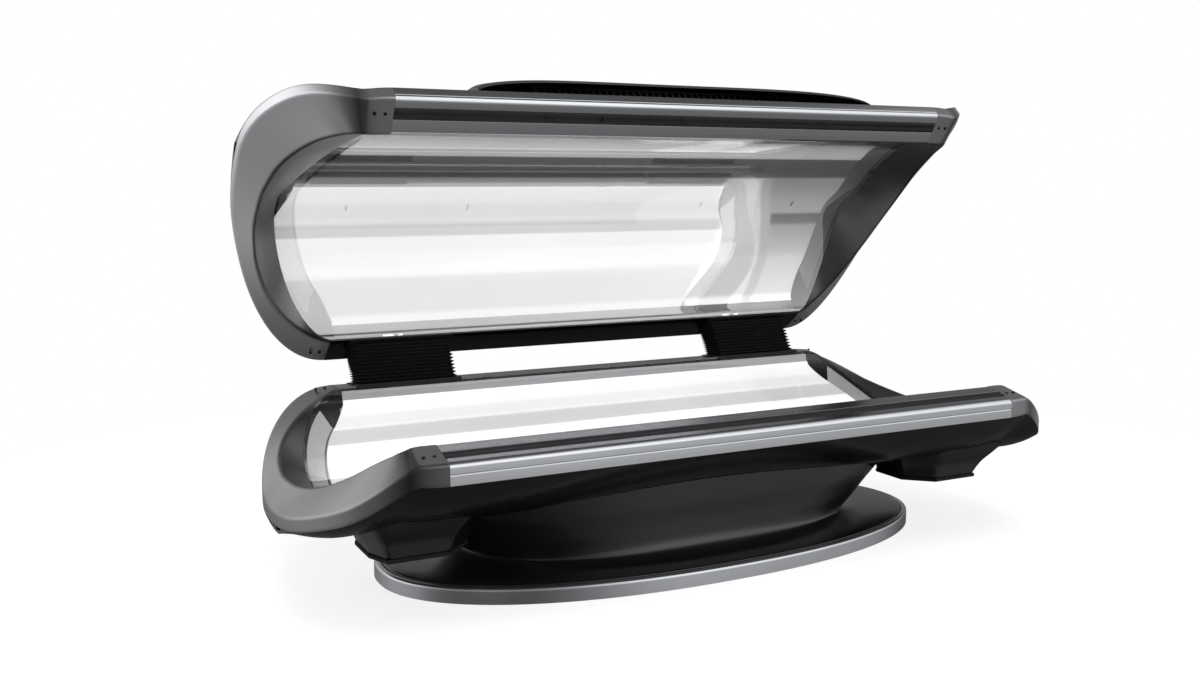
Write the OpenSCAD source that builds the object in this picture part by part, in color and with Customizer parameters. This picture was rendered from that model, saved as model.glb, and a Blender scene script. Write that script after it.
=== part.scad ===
// Red light therapy bed: a lying bed on a pedestal with a hinged canopy over it.
// X runs along the bed, Y towards the hinge side, Z up from the floor.
// Rim curves use local u (front to rear) and v (away from the mating face).

/* [Body] */
// Half length of the straight rails, mm
rail_half = 810; // [700:5:900]
// How far each end cap bulges past its rails, mm
end_bulge = 289; // [240:1:320]
// Width across the rails, front edge to rear edge, mm
chord = 1010; // [950:5:1080]
// Depth of the scooped rim at the ends, mm
scoop = 176; // [150:1:190]
// Height of the bed's front rail edge above the floor, mm
edge_z = 418; // [400:1:460]
// Height of the rim's side face along the rails, mm
side_h = 49; // [44:1:52]
// Thickness of the moulded skins, mm
skin = 5; // [4:0.5:6]

/* [Canopy] */
// Tilt of the open canopy from level, degrees
tilt = 44.28; // [40:0.01:46]
// Height of the canopy's front face along its rail, mm
side_c = 35; // [33:1:40]
// Height of the canopy dome above the mating face, mm
dome_v = 304; // [300:1:315]
// Rise of the canopy's clear sheet, mm
sheet_canopy = 230; // [215:1:232]

/* [Bed] */
// Depth of the bed's clear sheet, mm
sheet_bed = 168; // [150:1:170]
// Depth of the belly below the mating face, mm
belly_v = 214; // [212:1:225]
// Thickness of the clear sheets, mm
sheet_t = 5; // [4:0.5:6]

/* [Pedestal] */
// Half length of the plinth, mm
plinth_a = 818; // [780:1:860]
// Half width of the plinth, mm
plinth_b = 388; // [370:1:420]
// Height of the plinth rim, mm
plinth_h = 40; // [36:1:48]

/* [Hinge] */
// Distance of each hinge from the middle, mm
hinge_x = 600; // [590:1:610]
// Radius of the hinge pins, mm
pin_r = 8; // [7:0.5:9]
// Radial running clearance, mm
run = 0.05; // [0.03:0.01:0.08]
// Gap between seated pieces, mm
seat = 0.2; // [0.1:0.05:0.3]

/* [Bellows and fans] */
// Pleats on each bellows
pleats = 11; // [9:1:13]
// Half width of a bellows, mm
bellows_half = 148; // [140:1:150]
// Radius of the fan blades, mm
fan_r = 54; // [50:1:55]
// Blades on each fan
fan_blades = 7; // [5:1:9]

/* [Hidden] */
$fn = 40;
k = chord/1010;
bed_y0 = -514*k;
piv = [bed_y0+chord+24, edge_z-4.5];
rear_off = -19;
X0 = rail_half;
xe = X0+end_bulge;
// Rim stations as fractions of the bulge, front half then rear half
RQ = [0,0.118,0.2,0.25,0.3,0.36,0.43,0.51,0.6,0.7,0.8,0.9,0.965,0.992,1,
  0.992,0.965,0.9,0.8,0.7,0.6,0.51,0.43,0.36,0.3,0.25,0.2,0.118,0];
NF = 14;
NJ = 28;
// Inner lip at each station: past the rail end, u, v, share of the rear step
LIP = [[0,91.5,-27,0],[34,93,-26.5,0],[56,95,-24,0],[61,96.5,-22,0],[66,98,-19.5,0],[72,99.8,-17,0],[81,104,-13,0],
  [92,111.6,-5.8,0],[110,126,5,0],[127,146.1,18.4,0],[144,172.9,35.6,0],[167,222.1,61.7,0],[188,275.2,84.4,0],
  [200,312,96.5,0],[210,352,107,0],[227,455.8,119.3,0],[230.2,544.8,121.2,0.007],[218,658.2,111.9,0.083],
  [189,759.7,93.5,0.233],[158.7,819.5,75.9,0.378],[128.7,858.3,59.5,0.513],[106,879.2,47.5,0.61],[84,894.1,36.3,0.702],
  [71,900.6,30.5,0.75],[58,905.8,23.6,0.806],[47,909,18.5,0.85],[36,911.5,13.5,0.89],[18,914,6,0.95],[0,915,0,1]];
acr_a = [0,7,11,12.5,14,15.5,17,18.5,21.5,25.5,30.5,37.5,44.5,49,54,68.5,90,104,120.5,133,143,149.5,156,159.5,164,
  166.5,170.5,174,180];

// Curves shared by rims, skins and sheets
function sp(c,p) = pow(max(0,c),p);
function unit2(d) = d/max(0.001,norm(d));
function rim_u(q,rear) = rear ? (339+671*sp(1-pow(q,2.2),1/2.2))*k : 339*k*(1-sp(1-pow(q,2.1),1/2.1));
function ramp(u) = let(q=pow(max(0,1-pow(max(0,1-u/(339*k)),2.1)),1/2.1))
  u >= 339*k || q >= 0.75 ? 1 : q <= 0.22 ? 0 : 1-pow((0.75-q)/0.53,2.1);
function rim_v(u,rv) = u < 599*k ? ramp(u)*scoop*sp(1-pow((599*k-u)/(599*k),2.05),1/2.05)
  : 5+rv+(scoop-5-rv)*sp(1-pow((u-599*k)/(411*k),1.2),1/1.2);
function side(q) = side_h-19*pow(q,1.2);
function side_f(q,S) = S[2]==0 ? side_c+(side_h-19-side_c)*pow(q,1.2) : side(q);
function cpt(a,b,uc,u0,u1,n1,n2) = let(n=a<=90?n1:n2, s=sp(abs(sin(a)),2/n), c=sp(abs(cos(a)),2/n))
  [X0+b*end_bulge/289*s, a<=90 ? uc-(uc-u0)*c : uc+(u1-uc)*c];
function sheet_v(u,h,uc,rv) = u < uc*k ? -5+(h+5)*sp(1-pow((uc*k-u)/(uc*k-100),1.36),1/1.36)
  : rv+(h-rv)*sp(1-pow((u-uc*k)/((905-uc)*k),1.44),1/1.44);
function rim_pt(j,rv) = let(u=rim_u(RQ[j],j>NF)) [X0+end_bulge*RQ[j], u, rim_v(u,rv)];
function seam_pt(j,rv) = let(L=LIP[j]) [X0+L[0]*end_bulge/289, L[1]*k, L[2]*scoop/176+rv*L[3]];
function acr_xy(j,m) = let(p=cpt(acr_a[j],154,550*k,100,905*k,1.05,2.27),
  s=seam_pt(j,0), d=unit2([p[0]-s[0],p[1]-s[1]])) [p[0]+d[0]*m, p[1]+d[1]*m];
// Canopy values first, bed values second: sheet height, its crest, rear step
CAN = [sheet_canopy,634,0,dome_v,206];
BED = [sheet_bed,560,rear_off,belly_v,205];
function sv(u,S) = sheet_v(u,S[0],S[1],S[2]);

// Lofts: a closed tube with flat ends, and a tube closed both ways
module loft(S, flip=false) {
  n = len(S[0]); m = len(S);
  f = concat([for (i=[0:m-2], j=[0:n-1]) let(a=i*n+j,b=i*n+(j+1)%n) each [[a,b,b+n],[a,b+n,a+n]]],
    [[for (j=[n-1:-1:0]) j], [for (j=[0:n-1]) (m-1)*n+j]]);
  polyhedron([for (s=S) each s], flip ? [for (q=f) [for (i=[len(q)-1:-1:0]) q[i]]] : f, convexity=8);
}
module ring_loft(S, flip=false) {
  n = len(S[0]); m = len(S);
  f = [for (i=[0:m-1], j=[0:n-1]) let(a=i*n+j,b=i*n+(j+1)%n,c=((i+1)%m)*n+(j+1)%n,d=((i+1)%m)*n+j)
    each [[a,b,c],[a,c,d]]];
  polyhedron([for (s=S) each s], flip ? [for (q=f) [q[2],q[1],q[0]]] : f, convexity=8);
}
// A profile in Y and Z drawn out along X, centred or from x0
module along_x(len, x0=undef) translate([x0==undef ? -len/2 : x0,0,0])
  rotate([90,0,90]) linear_extrude(len) children();
module canopy_place() translate([0,piv[0],piv[1]]) rotate([-tilt,0,0])
  translate([0,-chord-50.2,63.4]) children();
module bed_place() translate([0,bed_y0,edge_z]) mirror([0,0,1]) children();
module both() { children(); mirror([1,0,0]) children(); }

// End caps: wall section lofted along the rim
function cap_sec(j,S) = let(O=rim_pt(j,S[2]), I=seam_pt(j,S[2]), a=acr_xy(j,0), A=[a[0],a[1],sv(a[1],S)-0.5],
  D=unit2(I-O), E=unit2(A-I), d=unit2([I[0]-O[0],I[1]-O[1]]), e=unit2([A[0]-I[0],A[1]-I[1]]), h=j<=NF ? side_f(RQ[j],S) : side(RQ[j]))
  [O+6*D, I-8*D, I+8*E, A, A+[-2*e[0],-2*e[1],skin], I+[-2*d[0],-2*d[1],skin+4], O+[6*d[0],6*d[1],skin+1],
   O+[skin*d[0],skin*d[1],h-7.5], O+[0,0,h], O+[0,0,6]];
module cap_solid(S) difference() {
  loft([for (j=[0:NJ]) cap_sec(j,S)], true);
  screw_sites(S) { cylinder(r=2.6,h=40,center=true,$fn=20); translate([0,0,-2]) cylinder(r=4.2,h=5,$fn=20); }
}
// Cap screws sit square to the mating face, heads towards the other half
module screw_sites(S) for (x=[20,45]) {
  translate([X0+x,39.5,-11.8]) rotate([-16.6,0,0]) children();
  translate([X0+x,chord-45,S[2]+2.6]) rotate([2,0,0]) translate([0,0,0.4]) children();
}
module screws(S) both() screw_sites(S) { translate([0,0,-0.9]) cylinder(r=4,h=2.8,$fn=20);
  translate([0,0,1.5]) cylinder(r=2.4,h=14,$fn=20); }

// Rails
module front_rail(step,sh) difference() {
  along_x(2*X0-0.4) difference() {
    polygon([[0,6],[6,-1.8],[24,-7.15],[24,-2.2],[53,-10.8],[53,-15.8],[84,-25],[92,-21],[92,-11.5],
      [76,-11.5],[76,0],[66,8],[30,5.5+sh/2],[8,sh],[0,sh],[0,sh-22],[step,sh-24],[0,sh-26]]);
    polygon([[6,4],[20,3],[26,2],[56,-7],[60,-12],[70,-15],[70,-2],[61,4.5],[27,sh/2+0.5],[10,sh-7],[6,sh-7]]);
  }
}
module rear_rail_2d(S) translate([0,S[2]]) difference() {
  polygon([[chord-107,-5.4],[chord-86,-4.4],[chord,5],[chord,54],[chord-8,54],[chord-55,28],[chord-86,8],
    [chord-86,0],[chord-107,0]]);
  polygon([[chord-78,2],[chord-6,9.5],[chord-6,46],[chord-50,22],[chord-78,7]]);
}
module gasket_solid() along_x(2*X0-0.4) polygon([[24.2,-6.4],[24.2,-2.5],[52.8,-11],[52.8,-15],[46,-16.6],
  [40,-12.3],[36,-11],[30,-12]]);

// Skins: belly and dome share one tub, open towards the mating face
XS = concat([for (i=[NF-1:-1:1]) -X0-end_bulge*RQ[i]], [-X0,-550,-275,0,275,550,X0], [for (i=[1:NF-1]) X0+end_bulge*RQ[i]]);
MT = 16;
function tub_p(x,S) = S[2]==0 ? 2.2 : 2.2+1.1*min(1,x*x/302500);
function crest(x,S) = S[4]+(S[3]-S[4])*sqrt(max(0,1-pow(abs(x)/xe,4)));
function tub_line(x,S,in,e,end) = let(q=max(0,(abs(x)-X0)/end_bulge), a=rim_u(q,false), b=rim_u(q,true),
  va=rim_v(a,S[2])+side_f(q,S)+seat, vb=rim_v(b,S[2])+side(q)+seat, hw=(b-a)/2-1,
  D=crest(x,S)-(va+vb)/2,
  g=in ? (end ? hw*0.4 : max(hw-skin*1.4,hw*0.6)) : hw+e, Di=in ? (end ? 0.3 : max(0.5,D-skin)) : max(D,3)+e)
  [for (i=[0:MT]) let(s=-cos(180*i/MT)) [x,(a+b)/2+g*s, va+(vb-va)*(s*g/hw+1)/2-e+Di*(1-pow(abs(s),tub_p(x,S)))]];
module tub(S) loft([for (x=XS) let(end=abs(x)>xe-4) concat(tub_line(x,S,false,0,end),
  [for (i=[MT:-1:0]) tub_line(x,S,true,0,end)[i]])]);
function skin_v(u,x,S) = let(q=max(0,(abs(x)-X0)/end_bulge), a=rim_u(q,false), b=rim_u(q,true),
  va=rim_v(a,S[2])+side_f(q,S)+seat, vb=rim_v(b,S[2])+side(q)+seat, s=max(-1,min(1,(u-(a+b)/2)/((b-a)/2-1))))
  va+(vb-va)*(s+1)/2+(crest(x,S)-(va+vb)/2)*(1-pow(abs(s),tub_p(x,S)));
function belly_z(x,y) = edge_z-skin_v(y-bed_y0,x,BED);

// Clear sheets, light boards and reflectors follow the sheet curve
module plan_clip(m, front, rear) translate([0,0,-60]) linear_extrude(500) polygon(concat(
  [[-X0+0.5,front],[X0-0.5,front]], [for (j=[0:NJ]) acr_xy(j,m)], [[X0-0.5,rear],[-X0+0.5,rear]],
  [for (j=[NJ:-1:0]) let(p=acr_xy(j,m)) [-p[0],p[1]]]));
function us(a,b,n) = [for (i=[0:n]) a+(b-a)*i/n];
module strip_2d(S,ul,off,t,tail=[]) polygon(concat([for (u=ul) [u,sv(u,S)+off]],
  [for (i=[len(ul)-1:-1:0]) [ul[i],sv(ul[i],S)+off+t]]));
function sheet_us(S) = concat([78,90,100,106,116,130,150,175,205,245], us(290*k,S[1]*k,5),
  us(S[1]*k+50*k,850*k,4), [870*k,886*k,897*k,904*k,912*k,921*k]);
module sheet_solid(S) intersection() {
  along_x(2*xe) strip_2d(S,sheet_us(S),0.4,sheet_t);
  plan_clip(0.4,70,chord-70);
}
board_us = us(250*k,878*k,9);
function rev(v) = [for (i=[len(v)-1:-1:0]) v[i]];
function half_plan(m,j0) = [for (j=[j0:22]) acr_xy(j,m)];
module inner_clip(m, x0, front, j0, rear) translate([0,0,-60]) linear_extrude(500) polygon(concat(
  [[-x0,front],[x0,front]], half_plan(m,j0), [[X0-10,rear],[10-X0,rear]],
  [for (p=rev(half_plan(m,j0))) [-p[0],p[1]]]));
module boards(S,off) intersection() {
  along_x(2*xe) strip_2d(S,board_us,off,3);
  inner_clip(60,X0-20,240*k,11,884*k);
}
// The reflector tray turns down to the sheet along both long edges
function tray(S,off) = concat([[114,9],[130.6,11],[134.6,off]], [for (u=concat([150,190],board_us,[890*k])) [u,off]],
  [[900*k,min(off,24)],[903.6*k,12]]);
module reflector(S,off) intersection() {
  along_x(2*xe) polygon(concat([for (q=tray(S,off)) [q[0],sv(q[0],S)+q[1]]],
    [for (q=rev(tray(S,off))) [q[0]+(q[0]>899*k?1.5:q[0]<135?-0.6:0),sv(q[0],S)+q[1]+1.5]]));
  inner_clip(56,X0-60,104,6,908*k);
}
function end_wall(j,S,off) = let(a=acr_xy(j,9), b=acr_xy(j,49), c=acr_xy(j,11), d=acr_xy(j,51.5))
  [[a[0],a[1],sv(a[1],S)+sheet_t+5], [b[0],b[1],sv(b[1],S)+off], [d[0]-2,d[1],sv(d[1],S)+off+2],
   [b[0],b[1],sv(b[1],S)+off+2], [a[0]+1.2,a[1],sv(a[1],S)+sheet_t+7]];
module end_reflectors(S,off) both() loft([for (j=[5:NJ-5]) end_wall(j,S,off)], true);

// Pedestal
function oval(a,b,z) = [for (i=[0:55]) let(t=i*360/56, c=cos(t), s=sin(t))
  [a*sign(c)*pow(abs(c),0.897), b*sign(s)*pow(abs(s),0.897), z]];
module plinth_rim() color([0.55,0.56,0.58]) ring_loft([for (r=[[0,0],[0,plinth_h-7],[2,plinth_h-2.5],[7,plinth_h],
  [14,plinth_h],[17,plinth_h-5],[26,plinth_h-5],[26,0]]) oval(plinth_a-r[0],plinth_b-r[0],r[1])], true);
module plinth_base() color([0.2,0.2,0.2]) linear_extrude(8)
  polygon([for (p=oval(plinth_a-26.2,plinth_b-26.2,0)) [p[0],p[1]]]);
PED = [[-18,-18,plinth_h-5+0.2],[-19,-19,plinth_h+1],[-28,-26,plinth_h+4],[-90,-48,plinth_h+9],[-185,-84,plinth_h+13],
  [-224,-100,plinth_h+24],[-198,-111,80],[-170,-114,100],[-136,-113,130],[-106,-110,155],[-75,-105,182]];
function on_belly(P,m) = [for (p=P) [p[0],p[1],belly_z(p[0],p[1])-m]];
module pedestal_cover() color([0.08,0.08,0.09]) difference() {
  ring_loft(concat([for (r=PED) oval(plinth_a+r[0],plinth_b+r[1],r[2])],
    [on_belly(oval(plinth_a-52,plinth_b-101,0),1.5), on_belly(oval(plinth_a-52-skin,plinth_b-101-skin,0),1.5)],
    [for (i=[len(PED)-1:-1:1]) let(r=PED[i]) oval(plinth_a+r[0]-skin,plinth_b+r[1]-skin,r[2]-(i<6?skin:0))],
    [oval(plinth_a-24,plinth_b-24,plinth_h-5+0.2)]), true);
  translate([0,plinth_b-88,110]) cube([60.6,90,36.6],center=true);
}
module pedestal_frame() color([0.3,0.3,0.32]) {
  translate([-360,-120,10]) cube([720,240,6]);
  for (x=[-300,300]) difference() { translate([x-40,-49,16]) cube([80,80,edge_z-belly_v-16.6-6]);
    translate([x-36,-45,16]) cube([72,72,edge_z-belly_v-26]); }
  for (x=[-300,300]) translate([x-90,-109,edge_z-belly_v-6.6]) cube([180,200,6.2]);
}
module power_supplies() color([0.6,0.6,0.62]) for (x=[-150,30]) translate([x,-90,16]) difference() {
  cube([120,200,50]); for (i=[0:5]) translate([15+i*17,-1,44]) cube([8,202,7]); }
module control_unit() color([0.12,0.12,0.13]) translate([-235,-100,16]) difference() {
  cube([64,180,90]); for (i=[0:4]) translate([-1,30+i*26,70]) cube([66,10,6]); }
module mains_inlet() color([0.1,0.1,0.1]) translate([0,plinth_b-125.6,110]) difference() {
  union() { translate([-30,-30,-18]) cube([60,46,36]); translate([-36,14,-24]) cube([72,4,48]); }
  translate([-22,-4,-10]) cube([27,30,20]);
  translate([11,8,-10]) cube([14,12,20]); }

// Bed frame: two beams tied by ribs that hang under the light boards
module bed_frame() color([0.35,0.36,0.38]) {
  translate([-X0-50,bed_y0+150,edge_z-128]) beam(2*X0+100,40,36);
  translate([-X0-50,bed_y0+790*k,edge_z-139]) beam(2*X0+100,38,25.5);
  for (x=[-700,-300,300,700]) bed_place() along_x(30,x-15) polygon(concat([for (u=us(150,828*k,14)) [u,
    skin_v(u,x,BED)-skin-(u>700*k?11:4)]], [for (u=concat([828*k],rev(board_us),[190,150])) if (u<829*k) [u, max(sv(u,BED)+23.8,92)]]));
}
module beam(l,b,h) difference() { cube([l,b,h]); translate([-1,3,3]) cube([l+2,b-6,h-6]); }

// Hinges: base brackets, pins and canopy arms
A1 = [piv[0]-154, piv[1]-111.5];
B1 = [piv[0]+93.8*cos(103), piv[1]+93.8*sin(103)];
module hinge_bracket() color([0.25,0.26,0.28]) {
  difference() {
    for (s=[-1,1]) along_x(8,hinge_x+s*41-4) difference() {
      union() {
        polygon([[piv[0]-205.8,piv[1]-131],[piv[0]-205.8,piv[1]-100],[piv[0]-110,piv[1]-42],[piv[0]-80,piv[1]-26],
          [piv[0]-34,piv[1]-38],[piv[0]-18,piv[1]-26],[piv[0]-18,piv[1]],[piv[0]+18,piv[1]],[piv[0]+20,piv[1]-22],
          [piv[0]-12,piv[1]-68],[piv[0]-90,piv[1]-106]]);
        translate(piv) circle(r=18);
      }
      translate(piv) circle(r=pin_r+run);
    }
  }
  translate([hinge_x-45,piv[0]-205.8,piv[1]-130]) cube([162,6.2,30]);
  translate([hinge_x-37.5,piv[0]-100,piv[1]-92]) cube([75,8,40]);
  for (s=[-1,1]) difference() {
    along_x(6,700+s*14-3) union() { translate(A1) circle(r=11);
      translate([piv[0]-205.8,A1[1]-9]) square([51.8,18]); }
    along_x(40,680) translate(A1) circle(r=5+run);
  }
}
module strut_pin() along_x(40,680) translate(A1) circle(r=5);
module hinge_pins() color([0.75,0.75,0.77]) both() {
  along_x(96,hinge_x-48) translate(piv) circle(r=pin_r);
  along_x(4,hinge_x-49.2) translate(piv) circle(r=pin_r+4);
  along_x(3,hinge_x+45.2) translate(piv) circle(r=pin_r+3);
  strut_pin(); along_x(3,717.2) translate(A1) circle(r=7.5); along_x(3,679.8) translate(A1) circle(r=7.5);
}
module hinge_arm() color([0.22,0.23,0.25]) canopy_place() {
  c = [chord+50.2,-63.4];
  difference() {
    union() {
      along_x(73.2,hinge_x-36.6) translate(c) circle(r=15);
      for (s=[-1,1]) along_x(8,hinge_x+s*24-4) polygon([[c[0]-13,c[1]-8],[c[0]-12,c[1]+10],[chord+13,-2],
        [chord+13,side_h+14],[chord-40,side_h+50],[chord-69,side_h+50],[chord-69,side_h+14],[chord-76,side_h+14],
        [chord-76,side_h+58],[chord-30,side_h+60],[chord+34,side_h+26],[chord+44,20],[c[0]+14,c[1]+2],[c[0]+8,c[1]-12]]);
      along_x(56,hinge_x-28) polygon([[chord+36,side_h+22],[chord+44,20],[chord+52,-20],[chord+47,-21],[chord+38,18],
        [chord+29,side_h+22]]);
    }
    along_x(100,hinge_x-50) translate(c) circle(r=pin_r+run);
  }
}

// Gas struts: cylinder swings on the bed, rod end rides the canopy lug
sd = B1-A1;
sl = norm(sd);
sa = atan2(sd[1],sd[0]);
off_l = 0.24;
off_t = 2.6;
module strut_place() translate([700,A1[0],A1[1]]) rotate([sa-90+atan(off_t/sl),0,0]) children();
module strut_cylinder() color([0.1,0.1,0.1]) strut_place() difference() {
  union() {
    rotate([0,90,0]) cylinder(r=9,h=21,center=true);
    translate([0,0,4]) cylinder(r=6,h=18);
    translate([0,0,16]) cylinder(r=11,h=137);
  }
  translate([0,0,24]) cylinder(r=8,h=122);
  translate([0,0,100]) cylinder(r=5+run,h=80);
  rotate([0,90,0]) cylinder(r=5+run,h=50,center=true);
}
module strut_rod() color([0.8,0.8,0.82]) strut_place() {
  difference() {
    union() { translate([0,0,128]) cylinder(r=5,h=sl+off_l-128-7);
      translate([0,0,sl+off_l]) rotate([0,90,0]) cylinder(r=9,h=14,center=true);
      translate([0,0,126]) cylinder(r=8-run,h=8); }
    translate([0,0,sl+off_l]) rotate([0,90,0]) cylinder(r=6.9,h=30,center=true);
  }
}
module strut_lugs() color([0.25,0.26,0.28]) both() canopy_place() {
  bl = lug_local();
  along_x(64,668) polygon([[chord-62,-4.1],[chord-22,0.27],[chord-22,2.39],[chord-62,-1.98]]);
  for (s=[-1,1]) along_x(6,700+s*14-3) union() { translate(bl) circle(r=8.5);
    polygon([[chord-56,-2.6],[chord-23,1.2],[bl[0]+8.5,bl[1]],[bl[0]-8.5,bl[1]]]); }
  along_x(40,680) translate(bl) circle(r=4);
}
function lug_local() = let(d=B1-piv) [chord+50.2+d[0]*cos(tilt)-d[1]*sin(tilt), -63.4+d[0]*sin(tilt)+d[1]*cos(tilt)];

// Bellows over each hinge and their flanges
bf = [[bed_y0+908*k,edge_z+27.1],[bed_y0+1001*k,edge_z+18.5]];
bt = [[piv[0]-64,piv[1]+140.2],[piv[0]+1,piv[1]+89.4]];
function fold_ring(i,w) = let(f=i/(2*pleats), a=bf[0]+(bt[0]-bf[0])*f, b=bf[1]+(bt[1]-bf[1])*f,
  d=unit2(b-a), o=(i%2==0 ? 8 : 0)+w, x=bellows_half-o, p=a+d*o, r=b-d*o*0.7)
  [[hinge_x-x,p[0],p[1]],[hinge_x+x,p[0],p[1]],[hinge_x+x,r[0],r[1]],[hinge_x-x,r[0],r[1]]];
module bellows() color([0.06,0.06,0.06]) ring_loft(concat([for (i=[0:2*pleats]) fold_ring(i,0)],
  [for (i=[2*pleats:-1:0]) fold_ring(i,1.6)]), true);
module bellows_base_plates() color([0.1,0.1,0.1]) both() difference() {
  along_x(2*bellows_half+16,hinge_x-bellows_half-8) bed_prof() polygon([[chord-107.2,-24.6],[chord-107.2,-14],
    [chord-109.4,-14],[chord-109.4,-27.5],[chord-6,-17.9],[chord-6,-14.86],[chord-86,-23.6]]);
  translate([hinge_x-105,bed_y0+chord-97,edge_z]) cube([240,80,60]);
}
module bed_prof() translate([bed_y0,edge_z]) mirror([0,1]) children();
module bellows_top_plates() color([0.1,0.1,0.1]) canopy_place() both() difference() {
  along_x(2*bellows_half+16,hinge_x-bellows_half-8) polygon([[chord-106,-5.55],[chord-106,-7.6],
    [chord-86,-6.6],[chord-8,1.9],[chord-8,3.92],[chord-86,-4.6]]);
  along_x(70,665) polygon([[chord-64,-30],[chord-4,-30],[chord-4,30],[chord-64,30]]);
}

// Intake cowls under the bed and their fans
cowl_c = [plinth_a-23,202-plinth_b];
cowl_p = [[-54,-120],[91,-120],[116,-55],[116,55],[91,120],[-54,120],[-123,55],[-123,-55]];
cowl_d = [for (i=[0:7], t=[0:2]) cowl_p[i]+(cowl_p[(i+1)%8]-cowl_p[i])*t/3];
function cowl_ring(z,s,w) = [for (p=cowl_d) let(f=s-w/norm(p)) [cowl_c[0]+p[0]*f, cowl_c[1]+p[1]*f, z]];
function cowl_z(s) = lookup(s,[[1,160.2],[1.1,187],[1.25,211],[1.45,238],[1.6,262],[1.8,330]]);
function meet(p,a=1,b=1.8,n=14) = let(m=(a+b)/2) n==0 ? m :
  belly_z(cowl_c[0]+p[0]*m,cowl_c[1]+p[1]*m)-0.9 > cowl_z(m) ? meet(p,m,b,n-1) : meet(p,a,m,n-1);
function cowl_line(f,w) = [for (p=cowl_d) let(s=1+(meet(p)-1)*f, x=cowl_c[0]+p[0]*(s-w/norm(p)),
  y=cowl_c[1]+p[1]*(s-w/norm(p))) [x, y, f==1 ? belly_z(x,y)-0.9 : cowl_z(s)]];
module pedestal_core(g) loft(concat([for (r=PED) oval(plinth_a+r[0]+g,plinth_b+r[1]+g,r[2])],
  [for (z=[205,270]) oval(plinth_a-52+g,plinth_b-101+g,z)]), true);
module intake_cowl() color([0.09,0.09,0.1]) difference() {
  ring_loft(concat([for (f=[0,0.3,0.65,1]) cowl_line(f,0)], [for (f=[1,0.65,0.3,0]) cowl_line(f,skin)]), true);
  pedestal_core(2);
}
module intake_grille() color([0.13,0.13,0.14]) difference() {
  loft([cowl_ring(150,1,-1),cowl_ring(152,1,-3),cowl_ring(158,1,-3),cowl_ring(160,1,-1)],true);
  for (i=[-5:5]) translate([cowl_c[0]-54,cowl_c[1]+i*10-2.5,149]) cube([108,5,12]); }
module fan_frame() difference() {
  union() {
    difference() { translate([-60,-60,0]) cube([120,120,25]); translate([0,0,-1]) cylinder(r=fan_r+2,h=27,$fn=48); }
    for (a=[0,90,180,270]) rotate(a) translate([0,-3,0]) cube([fan_r+4,6,3]);
    cylinder(r=18,h=3); cylinder(r=3,h=21,$fn=24);
  }
  for (x=[-52.5,52.5],y=[-52.5,52.5]) translate([x,y,-1]) cylinder(r=2.2,h=27,$fn=16);
}
module fan_rotor() difference() {
  union() { translate([0,0,4]) cylinder(r=20,h=18);
    for (i=[0:fan_blades-1]) rotate(i*360/fan_blades) translate([18,0,13]) rotate([38,0,0])
      translate([0,-10,-1]) cube([fan_r-20,20,2]); }
  translate([0,0,3]) cylinder(r=3+run,h=18.4,$fn=24);
}
module intake_fan_place() translate([cowl_c[0],cowl_c[1],160.2]) children();
// Hood fans sit square to the dome, just under it
hf_u = 191*k;
hf_a = atan((skin_v(hf_u+12,275,CAN)-skin_v(hf_u-12,275,CAN))/24);
module hood_fan_seat(x) translate([x,hf_u,skin_v(hf_u,275,CAN)-38.2])
  rotate([hf_a+6.58,0,0]) children();
module hood_fan_place(x) canopy_place() hood_fan_seat(x) translate([0,0,-6.8]) children();

// Canopy frame: front and rear tubes with curved ribs
module canopy_frame() color([0.35,0.36,0.38]) canopy_place() {
  along_x(2*X0+20) difference() { translate([102,52]) square([28,28]); translate([105,55]) square([22,22]); }
  along_x(2*X0+20) difference() { translate([chord-108,side_h+17]) square([31,31]);
    translate([chord-105,side_h+20]) square([25,25]); }
  for (x=[-760,-400,400,760]) along_x(6,x-3) polygon(concat([for (u=us(129.8,chord-107.8,16))
    [u, skin_v(u,x,CAN)-skin*1.6-1]], [for (u=concat([chord-107.8],rev(board_us),[190,150,129.8])) [u, max(sv(u,CAN)+27.8,66)]]));
}

// Vent hood on the dome
function hood_h(x) = 3+52*sqrt(max(0,1-pow(abs(x)/594,4)));
function hood_sec(x) = let(a=abs(x)/594, ul=14+46*(1-a*a), ub=34+306*sqrt(max(0,1-pow(a,2.2))), h=hood_h(x),
  f=function(u,g) skin_v(u,x,CAN)+max(g,0.4), um=(ul+ub)/2)
  [[x,ul+3,f(ul+3,h-12)],[x,ul-3,f(ul-3,h-5)],[x,ul+2,f(ul+2,h)],[x,ul+(um-ul)*0.5,f(ul+(um-ul)*0.5,h*0.97+1)],
   [x,um,f(um,h*0.8+1)],[x,um+(ub-um)*0.6,f(um+(ub-um)*0.6,h*0.42+1)],[x,ub,f(ub,1)],
   [x,ub-3,f(ub-3,0.4)],[x,um+(ub-um)*0.55,f(um+(ub-um)*0.55,h*0.42-4)],[x,um,f(um,h*0.8-4)],
   [x,ul+8,f(ul+8,h-9)]];
hood_xs = [-594,-585,-565,-530,-470,-380,-260,-130,0,130,260,380,470,530,565,585,594];
module vent_hood() color([0.12,0.12,0.13]) canopy_place() loft([for (x=hood_xs) hood_sec(x)]);
module vent_grille() color([0.05,0.05,0.05]) canopy_place() difference() {
  along_x(800) polygon([[82,skin_v(82,0,CAN)+0.6],[86,skin_v(86,0,CAN)+0.6],[86,skin_v(86,0,CAN)+33],
    [82,skin_v(82,0,CAN)+33]]);
  for (i=[-19:19]) translate([i*20-7,70,skin_v(82,0,CAN)+8]) cube([14,30,20]);
}

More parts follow.
